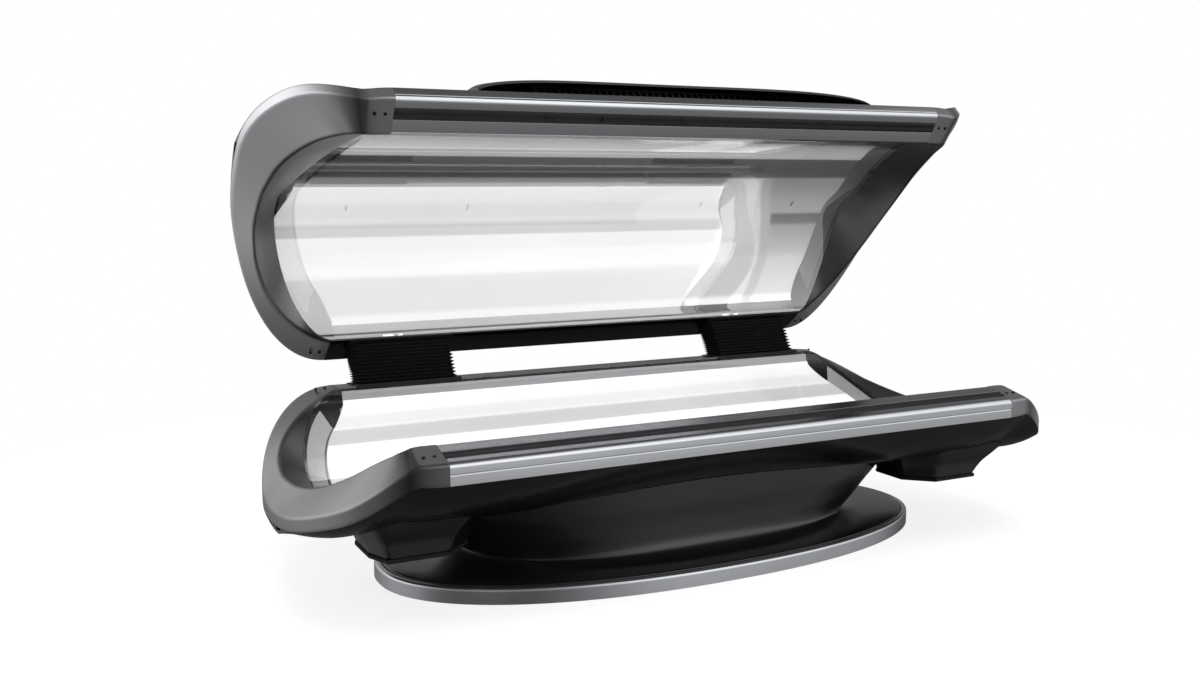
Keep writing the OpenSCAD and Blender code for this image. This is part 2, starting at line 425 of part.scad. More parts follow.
// Sub-parts
module bed_shell() color([0.08,0.08,0.09]) difference() {
  bed_place() tub(BED);
  both() {
    translate([hinge_x-50,bed_y0+chord-165,edge_z-170]) cube([175,208,140]);
    translate([cowl_c[0],cowl_c[1],100]) cylinder(r=58,h=220);
  }
}
module bed_end_cap_right() color([0.45,0.46,0.48]) bed_place() cap_solid(BED);
module bed_end_cap_left() mirror([1,0,0]) bed_end_cap_right();
module bed_front_rail() color([0.66,0.67,0.69]) bed_place() front_rail(1.4,side_h);
module bed_rear_rail() color([0.66,0.67,0.69]) difference() {
  bed_place() along_x(2*X0-0.4) rear_rail_2d(BED);
  both() translate([685,bed_y0+chord-92,edge_z-80]) cube([30,86,120]);
}
module bed_gasket() color([0.15,0.15,0.16]) bed_place() gasket_solid();
module bed_acrylic() color([0.85,0.9,0.95,0.4]) bed_place() sheet_solid(BED);
module bed_light_boards() color([1,1,1]) bed_place() boards(BED,18.7);
module bed_reflector() color([0.8,0.8,0.82]) bed_place() reflector(BED,22);
module bed_end_reflectors() color([0.8,0.8,0.82]) bed_place() end_reflectors(BED,22);
module bed_cap_screws() color([0.1,0.1,0.1]) bed_place() screws(BED);
module intake_cowl_right() intake_cowl();
module intake_cowl_left() mirror([1,0,0]) intake_cowl();
module intake_grille_right() intake_grille();
module intake_grille_left() mirror([1,0,0]) intake_grille();
module intake_fan_frame_right() color([0.1,0.1,0.1]) intake_fan_place() fan_frame();
module intake_fan_frame_left() mirror([1,0,0]) intake_fan_frame_right();
module intake_fan_rotor_right() color([0.2,0.2,0.2]) intake_fan_place() fan_rotor();
module intake_fan_rotor_left() mirror([1,0,0]) intake_fan_rotor_right();
module hinge_bracket_right() hinge_bracket();
module hinge_bracket_left() mirror([1,0,0]) hinge_bracket();
module canopy_shell() color([0.08,0.08,0.09]) canopy_place() difference() {
  tub(CAN);
  both() {
    translate([hinge_x-38,chord-80,side_h-10]) cube([76,140,95]);
    hood_fan_seat(275) cylinder(r=fan_r,h=80);
  }
}
module canopy_end_cap_right() color([0.45,0.46,0.48]) canopy_place() cap_solid(CAN);
module canopy_end_cap_left() mirror([1,0,0]) canopy_end_cap_right();
module canopy_front_rail() color([0.66,0.67,0.69]) canopy_place() front_rail(0.8,side_c);
module canopy_rear_rail() color([0.66,0.67,0.69]) canopy_place() along_x(2*X0-0.4) rear_rail_2d(CAN);
module canopy_gasket() color([0.15,0.15,0.16]) canopy_place() gasket_solid();
module canopy_acrylic() color([0.85,0.9,0.95,0.4]) canopy_place() sheet_solid(CAN);
module canopy_light_boards() color([1,1,1]) canopy_place() boards(CAN,22.7);
module canopy_reflector() color([0.8,0.8,0.82]) canopy_place() reflector(CAN,26);
module canopy_end_reflectors() color([0.8,0.8,0.82]) canopy_place() end_reflectors(CAN,25);
module canopy_cap_screws() color([0.1,0.1,0.1]) canopy_place() screws(CAN);
module hinge_arm_right() hinge_arm();
module hinge_arm_left() mirror([1,0,0]) hinge_arm();
module hood_fan_frame_right() color([0.1,0.1,0.1]) hood_fan_place(275) fan_frame();
module hood_fan_frame_left() color([0.1,0.1,0.1]) hood_fan_place(-275) fan_frame();
module hood_fan_rotor_right() color([0.2,0.2,0.2]) hood_fan_place(275) fan_rotor();
module hood_fan_rotor_left() color([0.2,0.2,0.2]) hood_fan_place(-275) fan_rotor();
module strut_cylinder_right() strut_cylinder();
module strut_cylinder_left() mirror([1,0,0]) strut_cylinder();
module strut_rod_right() strut_rod();
module strut_rod_left() mirror([1,0,0]) strut_rod();
module bellows_right() bellows();
module bellows_left() mirror([1,0,0]) bellows();

plinth_rim();
plinth_base();
pedestal_cover();
pedestal_frame();
power_supplies();
control_unit();
mains_inlet();
bed_shell();
bed_frame();
bed_end_cap_left();
bed_end_cap_right();
bed_front_rail();
bed_rear_rail();
bed_gasket();
bed_acrylic();
bed_light_boards();
bed_reflector();
bed_end_reflectors();
bed_cap_screws();
intake_cowl_left();
intake_cowl_right();
intake_grille_left();
intake_grille_right();
intake_fan_frame_left();
intake_fan_frame_right();
intake_fan_rotor_left();
intake_fan_rotor_right();
hinge_bracket_left();
hinge_bracket_right();
hinge_pins();
bellows_base_plates();
bellows_left();
bellows_right();
strut_cylinder_left();
strut_cylinder_right();
strut_rod_left();
strut_rod_right();
canopy_shell();
canopy_frame();
canopy_end_cap_left();
canopy_end_cap_right();
canopy_front_rail();
canopy_rear_rail();
canopy_gasket();
canopy_acrylic();
canopy_light_boards();
canopy_reflector();
canopy_end_reflectors();
canopy_cap_screws();
hinge_arm_left();
hinge_arm_right();
strut_lugs();
bellows_top_plates();
vent_hood();
vent_grille();
hood_fan_frame_left();
hood_fan_frame_right();
hood_fan_rotor_left();
hood_fan_rotor_right();
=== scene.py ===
import math
from collections import namedtuple
import bpy
import bmesh
import numpy as np
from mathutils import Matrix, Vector


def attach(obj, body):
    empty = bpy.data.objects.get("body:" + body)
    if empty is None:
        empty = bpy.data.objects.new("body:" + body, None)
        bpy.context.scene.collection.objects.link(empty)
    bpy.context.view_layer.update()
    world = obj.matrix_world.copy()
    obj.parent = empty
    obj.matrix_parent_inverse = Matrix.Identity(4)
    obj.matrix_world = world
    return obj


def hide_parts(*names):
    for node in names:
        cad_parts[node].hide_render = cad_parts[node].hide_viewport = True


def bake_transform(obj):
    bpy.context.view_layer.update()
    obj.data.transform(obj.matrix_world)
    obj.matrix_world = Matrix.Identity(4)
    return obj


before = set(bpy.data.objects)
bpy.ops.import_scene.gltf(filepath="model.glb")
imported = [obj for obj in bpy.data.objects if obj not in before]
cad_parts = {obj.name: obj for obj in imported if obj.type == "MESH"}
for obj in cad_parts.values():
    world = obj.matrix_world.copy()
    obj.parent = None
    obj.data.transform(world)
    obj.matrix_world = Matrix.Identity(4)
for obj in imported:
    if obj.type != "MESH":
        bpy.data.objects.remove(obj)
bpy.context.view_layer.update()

# Camera at the photograph's viewing point
cam = bpy.data.objects.new("camera", bpy.data.cameras.new("camera"))
bpy.context.scene.collection.objects.link(cam)
cam.data.sensor_width = 36.0
cam.data.lens = 35.693
cam.data.shift_x = 0.0007
cam.data.shift_y = -0.0116
cam.data.clip_start, cam.data.clip_end = 0.05, 60.0
cam.location = (-1.6534, -2.8428, 1.0130)
cam.rotation_euler = (math.radians(90 - 6.8641), 0, math.radians(-27.204))
bpy.context.scene.camera = cam
bpy.context.scene.view_settings.view_transform = "Standard"
bpy.context.scene.view_settings.look = "None"

# Sizes shared with the frame, in mm: straight half length, end length, depth, rise of the front, bed height
X0, BULGE, CHORD, SCOOP, EDGE = 810.0, 289.0, 1010.0, 176.0, 418.0
# Height of a side, how much lower it is at the tip, height of the canopy's front face, wall thickness
SIDE, TAPER, FACE, SKIN = 49.0, 19.0, 35.0, 5.0
# Depths u at which a rim is widest and highest, and the front, middle and rear of a clear sheet
WIDE_U, HIGH_U, SHEET_FRONT, SHEET_MID, SHEET_REAR, SHEET_BULGE = 339.0, 599.0, 100.0, 550.0, 905.0, 154.0
# Open angle of the canopy, the tip's x, the bed's front edge, the hinge axis, and the canopy's place on it
TILT, TIP_X, BED_Y, HINGE_Y, HINGE_Z = math.radians(44.28), 1099.0, -514.0, 520.0, 413.5
HINGE_BACK, HINGE_DROP = 50.2, 63.4

# Section of a shell: depth of its sheet and where, rise of its rear edge, crown and shoulder of its back
Section = namedtuple("Section", "deep deep_u rear crown shoulder")
CANOPY = Section(230.0, 634.0, 0.0, 304.0, 206.0)
BED = Section(168.0, 560.0, -19.0, 214.0, 205.0)

# Stations along a rim: share of the end's length, inner lip (x, u, v, share of the rear rise), sheet angle
FRONT_SHARE = [0, .118, .2, .25, .3, .36, .43, .51, .6, .7, .8, .9, .965, .992]
RIM_SHARE = FRONT_SHARE + [1] + FRONT_SHARE[::-1]
LIP = [[0, 91.5, -27, 0], [34, 93, -26.5, 0], [56, 95, -24, 0], [61, 96.5, -22, 0], [66, 98, -19.5, 0],
       [72, 99.8, -17, 0], [81, 104, -13, 0], [92, 111.6, -5.8, 0], [110, 126, 5, 0],
       [127, 146.1, 18.4, 0], [144, 172.9, 35.6, 0], [167, 222.1, 61.7, 0], [188, 275.2, 84.4, 0],
       [200, 312, 96.5, 0], [210, 352, 107, 0], [227, 455.8, 119.3, 0], [230.2, 544.8, 121.2, .007],
       [218, 658.2, 111.9, .083], [189, 759.7, 93.5, .233], [158.7, 819.5, 75.9, .378],
       [128.7, 858.3, 59.5, .513], [106, 879.2, 47.5, .61], [84, 894.1, 36.3, .702],
       [71, 900.6, 30.5, .75], [58, 905.8, 23.6, .806], [47, 909, 18.5, .85], [36, 911.5, 13.5, .89],
       [18, 914, 6, .95], [0, 915, 0, 1]]
SHEET_ANGLE = [0, 7, 11, 12.5, 14, 15.5, 17, 18.5, 21.5, 25.5, 30.5, 37.5, 44.5, 49, 54, 68.5, 90, 104,
               120.5, 133, 143, 149.5, 156, 159.5, 164, 166.5, 170.5, 174, 180]


def raised(base, power):
    """A power, with a negative base taken as zero."""
    return max(0.0, base) ** power


def unit(v):
    v = np.asarray(v, float)
    return v / max(1e-6, np.linalg.norm(v))


def rim_u(q, rear):
    """Depth u of a rim at share q of the end's length, on its rear or its front half."""
    if rear:
        return WIDE_U + (CHORD - WIDE_U) * raised(1 - q ** 2.2, 1 / 2.2)
    return WIDE_U * (1 - raised(1 - q ** 2.1, 1 / 2.1))


def ramp(u):
    """Share of the front's rise that a rim has at u."""
    q = raised(1 - raised(1 - u / WIDE_U, 2.1), 1 / 2.1)
    return 1.0 if u >= WIDE_U or q >= .75 else 0.0 if q <= .22 else 1 - ((.75 - q) / .53) ** 2.1


def rim_v(u, rear_v):
    """Height of a rim at u."""
    if u < HIGH_U:
        return ramp(u) * SCOOP * raised(1 - ((HIGH_U - u) / HIGH_U) ** 2.05, 1 / 2.05)
    low = 5 + rear_v
    return low + (SCOOP - 5 - rear_v) * raised(1 - ((u - HIGH_U) / (CHORD - HIGH_U)) ** 1.2, 1 / 1.2)


def side(q):
    """Height of the outer side at share q of the end's length."""
    return SIDE - TAPER * q ** 1.2


def side_f(q, S):
    """Face height of the front half of a rim; the canopy's is lower than the bed's."""
    return FACE + (SIDE - TAPER - FACE) * q ** 1.2 if S.rear == 0 else side(q)


def sheet_v(u, S):
    """Height of the clear sheet at u."""
    if u < S.deep_u:
        fall = raised((S.deep_u - u) / (S.deep_u - SHEET_FRONT), 1.36)
        return -5 + (S.deep + 5) * raised(1 - fall, 1 / 1.36)
    fall = ((u - S.deep_u) / (SHEET_REAR - S.deep_u)) ** 1.44
    return S.rear + (S.deep - S.rear) * raised(1 - fall, 1 / 1.44)


def sheet_end(a):
    """Point (x, u) of the sheet's rounded end at angle a."""
    n = 1.05 if a <= 90 else 2.27
    s = abs(math.sin(math.radians(a))) ** (2 / n)
    c = abs(math.cos(math.radians(a))) ** (2 / n)
    reach = SHEET_FRONT - SHEET_MID if a <= 90 else SHEET_REAR - SHEET_MID
    return np.array([X0 + SHEET_BULGE * s, SHEET_MID + reach * c])


def seam(j, rear_v):
    """Inner lip of a cap at station j."""
    x, u, v, share = LIP[j]
    return np.array([X0 + x, u, v + rear_v * share])


def rim(q, rear, rear_v):
    u = rim_u(q, rear)
    return np.array([X0 + BULGE * q, u, rim_v(u, rear_v)])


def pchip(x, y, xi):
    """Smooth curve through points that never swings past them."""
    x, y, xi = np.asarray(x, float), np.asarray(y, float), np.asarray(xi, float)
    flat = y.ndim == 1
    if flat:
        y = y[:, None]
    h = np.diff(x)[:, None]
    m = np.diff(y, axis=0) / h
    d = np.zeros_like(y)
    w1, w2 = 2 * h[1:] + h[:-1], h[1:] + 2 * h[:-1]
    ok = m[:-1] * m[1:] > 0
    with np.errstate(divide="ignore", invalid="ignore"):
        v = (w1 + w2) / (w1 / m[:-1] + w2 / m[1:])
    d[1:-1] = np.where(ok, v, 0)
    d[0], d[-1] = m[0], m[-1]
    k = np.clip(np.searchsorted(x, xi) - 1, 0, len(x) - 2)
    t = ((xi - x[k]) / (x[k + 1] - x[k]))[:, None]
    hh = h[k]
    r = (2 * t ** 3 - 3 * t ** 2 + 1) * y[k] + (t ** 3 - 2 * t ** 2 + t) * hh * d[k] \
        + (-2 * t ** 3 + 3 * t ** 2) * y[k + 1] + (t ** 3 - t ** 2) * hh * d[k + 1]
    return r[:, 0] if flat else r


def to_bed(P):
    P = np.asarray(P, float)
    return np.stack([P[..., 0], P[..., 1] + BED_Y, EDGE - P[..., 2]], -1) / 1000


def to_canopy(P):
    P = np.asarray(P, float)
    y, z = P[..., 1] - CHORD - HINGE_BACK, P[..., 2] + HINGE_DROP
    c, s = math.cos(TILT), math.sin(TILT)
    return np.stack([P[..., 0], y * c + z * s + HINGE_Y, -y * s + z * c + HINGE_Z], -1) / 1000


def to_world(P):
    return np.asarray(P, float) / 1000


def build(name, verts, faces, mat, smooth=40, painted_light=None, uv=None):
    """A mesh piece; the given levels scale its colour point by point, as painted shade and painted highlight;
    uv is its place on a sheet.
    """
    me = bpy.data.meshes.new(name)
    me.from_pydata([tuple(v) for v in np.asarray(verts).reshape(-1, 3)], [], faces)
    if painted_light is not None:
        at = me.attributes.new("painted_light", "FLOAT", "POINT")
        at.data.foreach_set("value", np.asarray(painted_light, float).ravel())
    if uv is not None:
        at = me.attributes.new("place", "FLOAT_VECTOR", "POINT")
        at.data.foreach_set("vector", np.asarray(uv, float).ravel())
    bm = bmesh.new()
    bm.from_mesh(me)
    bmesh.ops.recalc_face_normals(bm, faces=bm.faces[:])
    bm.to_mesh(me)
    bm.free()
    me.validate()
    me.shade_smooth()
    me.set_sharp_from_angle(angle=math.radians(smooth))
    ob = bpy.data.objects.new(name, me)
    bpy.context.scene.collection.objects.link(ob)
    if mat:
        me.materials.append(mat)
    return ob


def loft_faces(m, n, ring):
    """Faces between m closed rows of n points; a ring joins its last row to its first."""
    f = [[i * n + j, i * n + (j + 1) % n, ((i + 1) % m) * n + (j + 1) % n, ((i + 1) % m) * n + j]
         for i in range(m if ring else m - 1) for j in range(n)]
    if not ring:
        f += [list(range(n))[::-1], [(m - 1) * n + j for j in range(n)]]
    return f


def loft(name, rows, mat, ring=False, smooth=40, painted_light=None):
    rows = np.asarray(rows)
    return build(name, rows, loft_faces(rows.shape[0], rows.shape[1], ring), mat, smooth, painted_light)


def cut(ob, cutters, keep=False):
    """Take the cutters out of a piece, and delete them unless they are kept."""
    for c in cutters:
        mod = ob.modifiers.new("cut", "BOOLEAN")
        mod.operation, mod.object, mod.solver = "DIFFERENCE", c, "EXACT"
        dep = bpy.context.evaluated_depsgraph_get()
        me = bpy.data.meshes.new_from_object(ob.evaluated_get(dep))
        ob.modifiers.remove(mod)
        old = ob.data
        ob.data = me
        bpy.data.meshes.remove(old)
    if not keep:
        for c in cutters:
            bpy.data.objects.remove(c)
    ob.data.set_sharp_from_angle(angle=math.radians(40))


def block(lo, hi, place=to_world):
    P = [(x, y, z) for x in (lo[0], hi[0]) for y in (lo[1], hi[1]) for z in (lo[2], hi[2])]
    F = [[0, 1, 3, 2], [4, 6, 7, 5], [0, 4, 5, 1], [2, 3, 7, 6], [0, 2, 6, 4], [1, 5, 7, 3]]
    return build("cutter", place(P), F, None)


def fillet(P, r, n=4):
    """Outline with its corners rounded, by one radius or one for each corner."""
    P = [np.array(p, float) for p in P]
    out = []
    for i, p in enumerate(P):
        ri = r[i] if isinstance(r, (list, tuple)) else r
        a, b = P[i - 1] - p, P[(i + 1) % len(P)] - p
        ri = min(ri, np.linalg.norm(a) * .45, np.linalg.norm(b) * .45)
        if ri < .05:
            out.append(p)
            continue
        s, e = p + unit(a) * ri, p + unit(b) * ri
        for k in range(n + 1):
            t = k / n
            out.append((1 - t) ** 2 * s + 2 * t * (1 - t) * p + t * t * e)
    return np.array(out)


def extrude(name, outline, place, mat, painted_light=None):
    """Bar of one outline between the two end caps."""
    rows = [np.column_stack([np.full(len(outline), x), outline]) for x in (.2 - X0, X0 - .2)]
    painted_levels = None if painted_light is None else [[painted_light(*q) for q in outline]] * 2
    return loft(name, [place(r) for r in rows], mat, smooth=30, painted_light=painted_levels)


# Materials
def linear(hexc):
    """Linear colour of an sRGB hex value."""
    c = [int(hexc[i:i + 2], 16) / 255 for i in (1, 3, 5)]
    return tuple(v / 12.92 if v <= .04045 else ((v + .055) / 1.055) ** 2.4 for v in c) + (1,)


def feed(node, ins):
    """Fill a node's inputs with values, with sockets, or with nodes for their first output."""
    for key, value in ins.items() if isinstance(ins, dict) else enumerate(ins):
        if isinstance(value, bpy.types.Node):
            value = value.outputs[0]
        if isinstance(value, bpy.types.NodeSocket):
            node.id_data.links.new(value, node.inputs[key])
        else:
            node.inputs[key].default_value = value


def add(tree, kind, ins=(), **settings):
    """Add a node with its settings and links; a word after its kind is its operation."""
    kind, *operation = kind.split()
    node = tree.nodes.new(kind if "Node" in kind else "ShaderNode" + kind)
    if operation:
        node.operation = operation[0]
    for name, value in settings.items():
        setattr(node, name, value)
    feed(node, ins)
    return node


def material(name):
    """A new material with its node tree and its main shader."""
    mat = bpy.data.materials.new(name)
    mat.use_nodes = True
    return mat, mat.node_tree, mat.node_tree.nodes["Principled BSDF"]


def pattern(tree, per_metre, detail, stretch=None):
    """Noise with so many grains per metre; stretch gives them a direction."""
    where = add(tree, "TexCoord").outputs["Object"]
    if stretch:
        where = add(tree, "Mapping", {"Vector": where, "Scale": stretch})
    return add(tree, "TexNoise", {"Vector": where, "Scale": per_metre, "Detail": detail})


def between(tree, noise, low, high):
    """Turn the span that most of a noise lies in to low and high."""
    return add(tree, "MapRange", [noise, .3, .7, low, high])


def relief(tree, height, strength, depth=.0002, edge=0.0):
    """Fine relief, over edges that are softened by edge metres."""
    ins = {"Height": height, "Strength": strength, "Distance": depth}
    if edge:
        ins["Normal"] = add(tree, "Bevel", {"Radius": edge}, samples=3)
    return add(tree, "Bump", ins)


def shaded(tree, hexc, shade, with_painted_light):
    """Colour times its grain and, on a piece that carries them, the painted shade and painted highlight of
    its place.
    """
    if with_painted_light:
        painted_light = add(tree, "Attribute", attribute_name="painted_light").outputs["Fac"]
        shade = add(tree, "Math MULTIPLY", [shade, painted_light])
    return add(tree, "VectorMath SCALE", {0: linear(hexc)[:3], "Scale": shade})


def place_of(tree):
    """Place on a sheet: across, from front to rear, and 1 on the lit side."""
    where = add(tree, "Attribute", attribute_name="place").outputs["Vector"]
    return add(tree, "SeparateXYZ", [where]).outputs


def painted(name, hexc, rough, metal=0.0, specular=.5, fleck=.06, edge=0.0, coat=0.0, with_painted_light=False,
            grit=1400, strength=.04):
    """Painted or moulded; 1400 grains per metre are 0.7 mm each, coarser than real, so that they show."""
    mat, tree, shader = material(name)
    fine = pattern(tree, grit, 2)
    feed(shader, {"Base Color": shaded(tree, hexc, between(tree, fine, 1 - fleck, 1 + fleck), with_painted_light),
                  "Metallic": metal, "Specular IOR Level": specular, "Coat Weight": coat,
                  "Coat Roughness": .12,
                  "Roughness": between(tree, pattern(tree, 3, 3), rough * .88, rough * 1.12),
                  "Normal": relief(tree, fine, strength, edge=edge)})
    return mat


def brushed(name, hexc, rough, metal, stretch, strength, edge=0.0, with_painted_light=False):
    """Drawn, rolled or brushed metal; stretch is in waves per metre, coarser than real, so that they show."""
    mat, tree, shader = material(name)
    lines = pattern(tree, 1, 3, stretch)
    feed(shader, {"Base Color": shaded(tree, hexc, between(tree, lines, .93, 1.05), with_painted_light),
                  "Metallic": metal, "Roughness": between(tree, lines, rough * .85, rough * 1.15),
                  "Normal": relief(tree, lines, strength, edge=edge)})
    return mat


def rubber(name, hexc, rough, grit):
    """Moulded rubber: dull, with pale specks a millimetre or two wide."""
    mat, tree, shader = material(name)
    fine = pattern(tree, grit, 4)
    dark = linear(hexc)
    pale = tuple(1.35 * c for c in dark[:3]) + (1,)
    specks = add(tree, "MapRange", [fine, .35, .65, 0, 1])
    feed(shader, {"Base Color": add(tree, "Mix", {0: specks, 6: dark, 7: pale}, data_type="RGBA").outputs[2],
                  "Specular IOR Level": .25,
                  "Roughness": between(tree, pattern(tree, 8, 3), rough - .08, rough + .08),
                  "Normal": relief(tree, fine, .25, .0003)})
    return mat


def levels(tree, where, stops):
    """Grey level by place, from (place, level) stops."""
    node = add(tree, "ValToRGB", [where])
    elements = node.color_ramp.elements
    while len(elements) > 1:
        elements.remove(elements[-1])
    elements[0].position = stops[0][0]
    elements[0].color = (stops[0][1],) * 3 + (1,)
    for place, level in stops[1:]:
        elements.new(place).color = (level,) * 3 + (1,)
    return node.outputs[0]


# Painted light on the canopy's panel to the right of its bright band: painted shade and painted highlight by
# place; .5 is unchanged, 1 is twice as bright
BEYOND_BAND_PAINTED_LIGHT = [(.515, .45), (.670, .53), (.678, .00), (.705, .05), (.714, .47), (.775, .68), (.807, .90),
            (.875, 1.00)]


def panel(name, stops, power, painted_band=None):
    """Lit diffuser with levels by place; where given, a painted highlight band near its right end, by where
    it starts and stops, with painted shade and painted highlight to its right.
    """
    mat, tree, shader = material(name)
    across, along = place_of(tree)[:2]
    glow = between(tree, pattern(tree, 2.2, 3), .97, 1.02)
    # Painted highlight: a bright band near the right end; to its right, painted shade and painted highlight
    # by place
    if painted_band:
        start, stop = (levels(tree, along, edge) for edge in painted_band)
        inside = add(tree, "Math SUBTRACT", [across, start])
        left = add(tree, "Math SUBTRACT", [stop, across])
        bright = add(tree, "MapRange", [inside, .004, .02, 0, 1])
        for soft in ([left, -.006, .006, .3, 1.2], [left, -.045, -.033, 0, 1], [along, .48, .49, 0, 1]):
            bright = add(tree, "Math MULTIPLY", [bright, add(tree, "MapRange", soft)])
        painted_light = add(tree, "Math SUBTRACT", [levels(tree, along, BEYOND_BAND_PAINTED_LIGHT), .5])
        painted_light = add(tree, "Math MULTIPLY", [painted_light, 2])
        painted_light = add(tree, "Math MULTIPLY", [painted_light, add(tree, "MapRange", [left, -.045, -.033, 1, 0])])
        glow = add(tree, "Math MULTIPLY", [glow, add(tree, "Math ADD", [painted_light, 1])])
        glow = add(tree, "Math ADD", [glow, bright])
    stripes = add(tree, "VectorMath SCALE", {0: levels(tree, along, stops), "Scale": glow})
    feed(shader, {"Base Color": linear("#a0a0a0"), "Roughness": .6, "Specular IOR Level": .1,
                  "Emission Color": stripes, "Emission Strength": power})
    return mat


def clear(name, base, gain, front=None):
    """Clear sheet: a mirror share that grows towards grazing angles, the rest let through."""
    mat, tree, shader = material(name)
    along, lit_side = place_of(tree)[1:]
    if front:
        gain = add(tree, "MapRange", [along, .70, .72, front, gain])
    mirror = add(tree, "Math MULTIPLY", [add(tree, "Fresnel", {"IOR": 1.49}), gain])
    mirror = add(tree, "Math ADD", [mirror, base])
    mirror = add(tree, "Math MULTIPLY", [mirror, between(tree, pattern(tree, 1.3, 2), .97, 1.03)])
    mirror = add(tree, "Math MINIMUM", [mirror, 1])
    for fade in ([along, .899, .903, 1, .45], [lit_side, 0, 1, .06, 1]):
        mirror = add(tree, "Math MULTIPLY", [mirror, add(tree, "MapRange", fade)])
    feed(shader, {"Base Color": linear("#f9f9fa"), "Metallic": 1, "Roughness": .012, "Alpha": mirror})
    return mat


M = {
    # Moulded ABS sprayed silver: a soft metal sheen; each cap carries painted shade and painted reflection by
    # place, darkest on its turned-in lip
    "cap": painted("silver_sprayed_abs_painted_light", "#dcdde0", .34, .85, fleck=.05, with_painted_light=True),
    # Anodised aluminium drawn along its length: pale, with a long smooth highlight; painted shade darkens the
    # front rails' upper faces and the rear rails
    "rail": brushed("anodised_aluminium_painted_shade", "#c3c5c8", .2, 1, (2, 700, 700), .012, with_painted_light=True),
    # Polished black ABS: a deep black with broad soft reflections under a thin clear coat
    "shell": painted("polished_black_abs", "#141415", .27, 0, .45, .1, coat=.25),
    # Satin black ABS: a little paler and duller than the shells
    "hood": painted("satin_black_abs", "#1f1f21", .33, 0, .45, .1),
    # Lacquered glass fibre: the deepest black, with the sharpest reflections of the three
    "pedestal": painted("lacquered_glass_fibre", "#111112", .25, 0, .45, .1, coat=.3),
    # Steel sprayed silver: an even pale band round the foot
    "plinth": painted("silver_sprayed_steel", "#bfc1c5", .26, .95, fleck=.05),
    # Powder-coated steel tube: mid grey with softly rounded edges
    "inner": painted("grey_powder_coated_steel", "#55585c", .45, .6, edge=.0008),
    # Spark-textured ABS: matt black with a grit that can be seen from near
    "matte": painted("textured_black_abs", "#0d0d0d", .6, 0, .3, .15, edge=.0006, grit=600, strength=.2),
    # Glass-filled polyamide: black blades with a faint sheen
    "fan": painted("glass_filled_polyamide", "#161618", .5, 0, .4, .1, edge=.0005),
    # Brushed aluminium sheet: bright cases with fine lines
    "supply": brushed("brushed_aluminium", "#9b9ca0", .35, .9, (60, 900, 900), .1, .0008),
    # Extruded rubber seal: a dull dark line under each rail
    "gasket": rubber("extruded_seal_rubber", "#1b1b1d", .6, 700),
    # Rolled aluminium sheet: blurred bands behind the boards
    "reflector": brushed("rolled_aluminium", "#9a9b9d", .38, .7, (2, 300, 300), .03),
    # Etched aluminium: even pale grey end walls without a clear mirror image
    "endwall": brushed("etched_aluminium", "#b9babc", .45, .3, (40, 40, 300), .03),
    # Blackened steel: small dark heads with a glint
    "screw": painted("blackened_steel", "#0c0c0d", .4, .6, edge=.0004),
    # Coated fabric pleats: black without a highlight
    "bellows": rubber("rubber_coated_fabric", "#0a0a0a", .75, 500),
    # Powder-coated steel plate: charcoal with softly rounded edges
    "hinge": painted("charcoal_powder_coated_steel", "#33363a", .42, .7, edge=.001),
    # Polished steel: bright rods and pins
    "bright": brushed("polished_steel", "#c4c4c8", .16, 1, (200, 200, 200), .02, .0005),
    # Enamelled steel tube: glossy black cylinders
    "strut": painted("enamelled_steel", "#0b0b0c", .22, 0, .5, .05, coat=.5),
    # Cast acrylic: clear from near, a mirror at a grazing angle
    "bed_sheet": clear("clear_cast_acrylic_bed", .03, .5, 2.8),
    "canopy_sheet": clear("clear_cast_acrylic_canopy", .6, .5),
}

# Stations along the caps: the first 15 lie on the front half of the rim
TIP = 14
REAR = [j > TIP for j in range(len(RIM_SHARE))]


def stations(S, sub=6):
    """Dense sections along the rim: outer edge, inner lip, sheet edge and side height."""
    outer = np.array([rim(q, back, S.rear) for q, back in zip(RIM_SHARE, REAR)])
    inner = np.array([seam(j, S.rear) for j in range(len(LIP))])
    sheet = np.array([sheet_end(a) for a in SHEET_ANGLE])
    step = sum(share * np.linalg.norm(np.diff(line, axis=0), axis=1)
               for share, line in ((.4, outer), (.4, inner), (.2, sheet)))
    w = np.concatenate([[0], np.cumsum(step)])
    wi = [np.linspace(w[j], w[j + 1], sub, endpoint=False) for j in range(len(step))]
    wi = np.concatenate(wi + [[w[-1]]])
    phase = [math.pi - math.asin(q) if back else math.asin(q) for q, back in zip(RIM_SHARE, REAR)]
    out = []
    for p, a, lip in zip(pchip(w, phase, wi), pchip(w, SHEET_ANGLE, wi), pchip(w, inner, wi)):
        q = min(1.0, math.sin(p))
        x, u = sheet_end(a)
        back = p > math.pi / 2
        edge = np.array([x, u, sheet_v(u, S) - .5])
        out.append((rim(q, back, S.rear), lip, edge, side(q) if back else side_f(q, S)))
    return out


STATIONS = {"bed": stations(BED), "canopy": stations(CANOPY)}


def bend(a, c, b, n):
    """Points of a bend from a to b that rounds off the corner c."""
    t = np.linspace(0, 1, n)[:, None]
    return (1 - t) ** 2 * a + 2 * t * (1 - t) * c + t * t * b


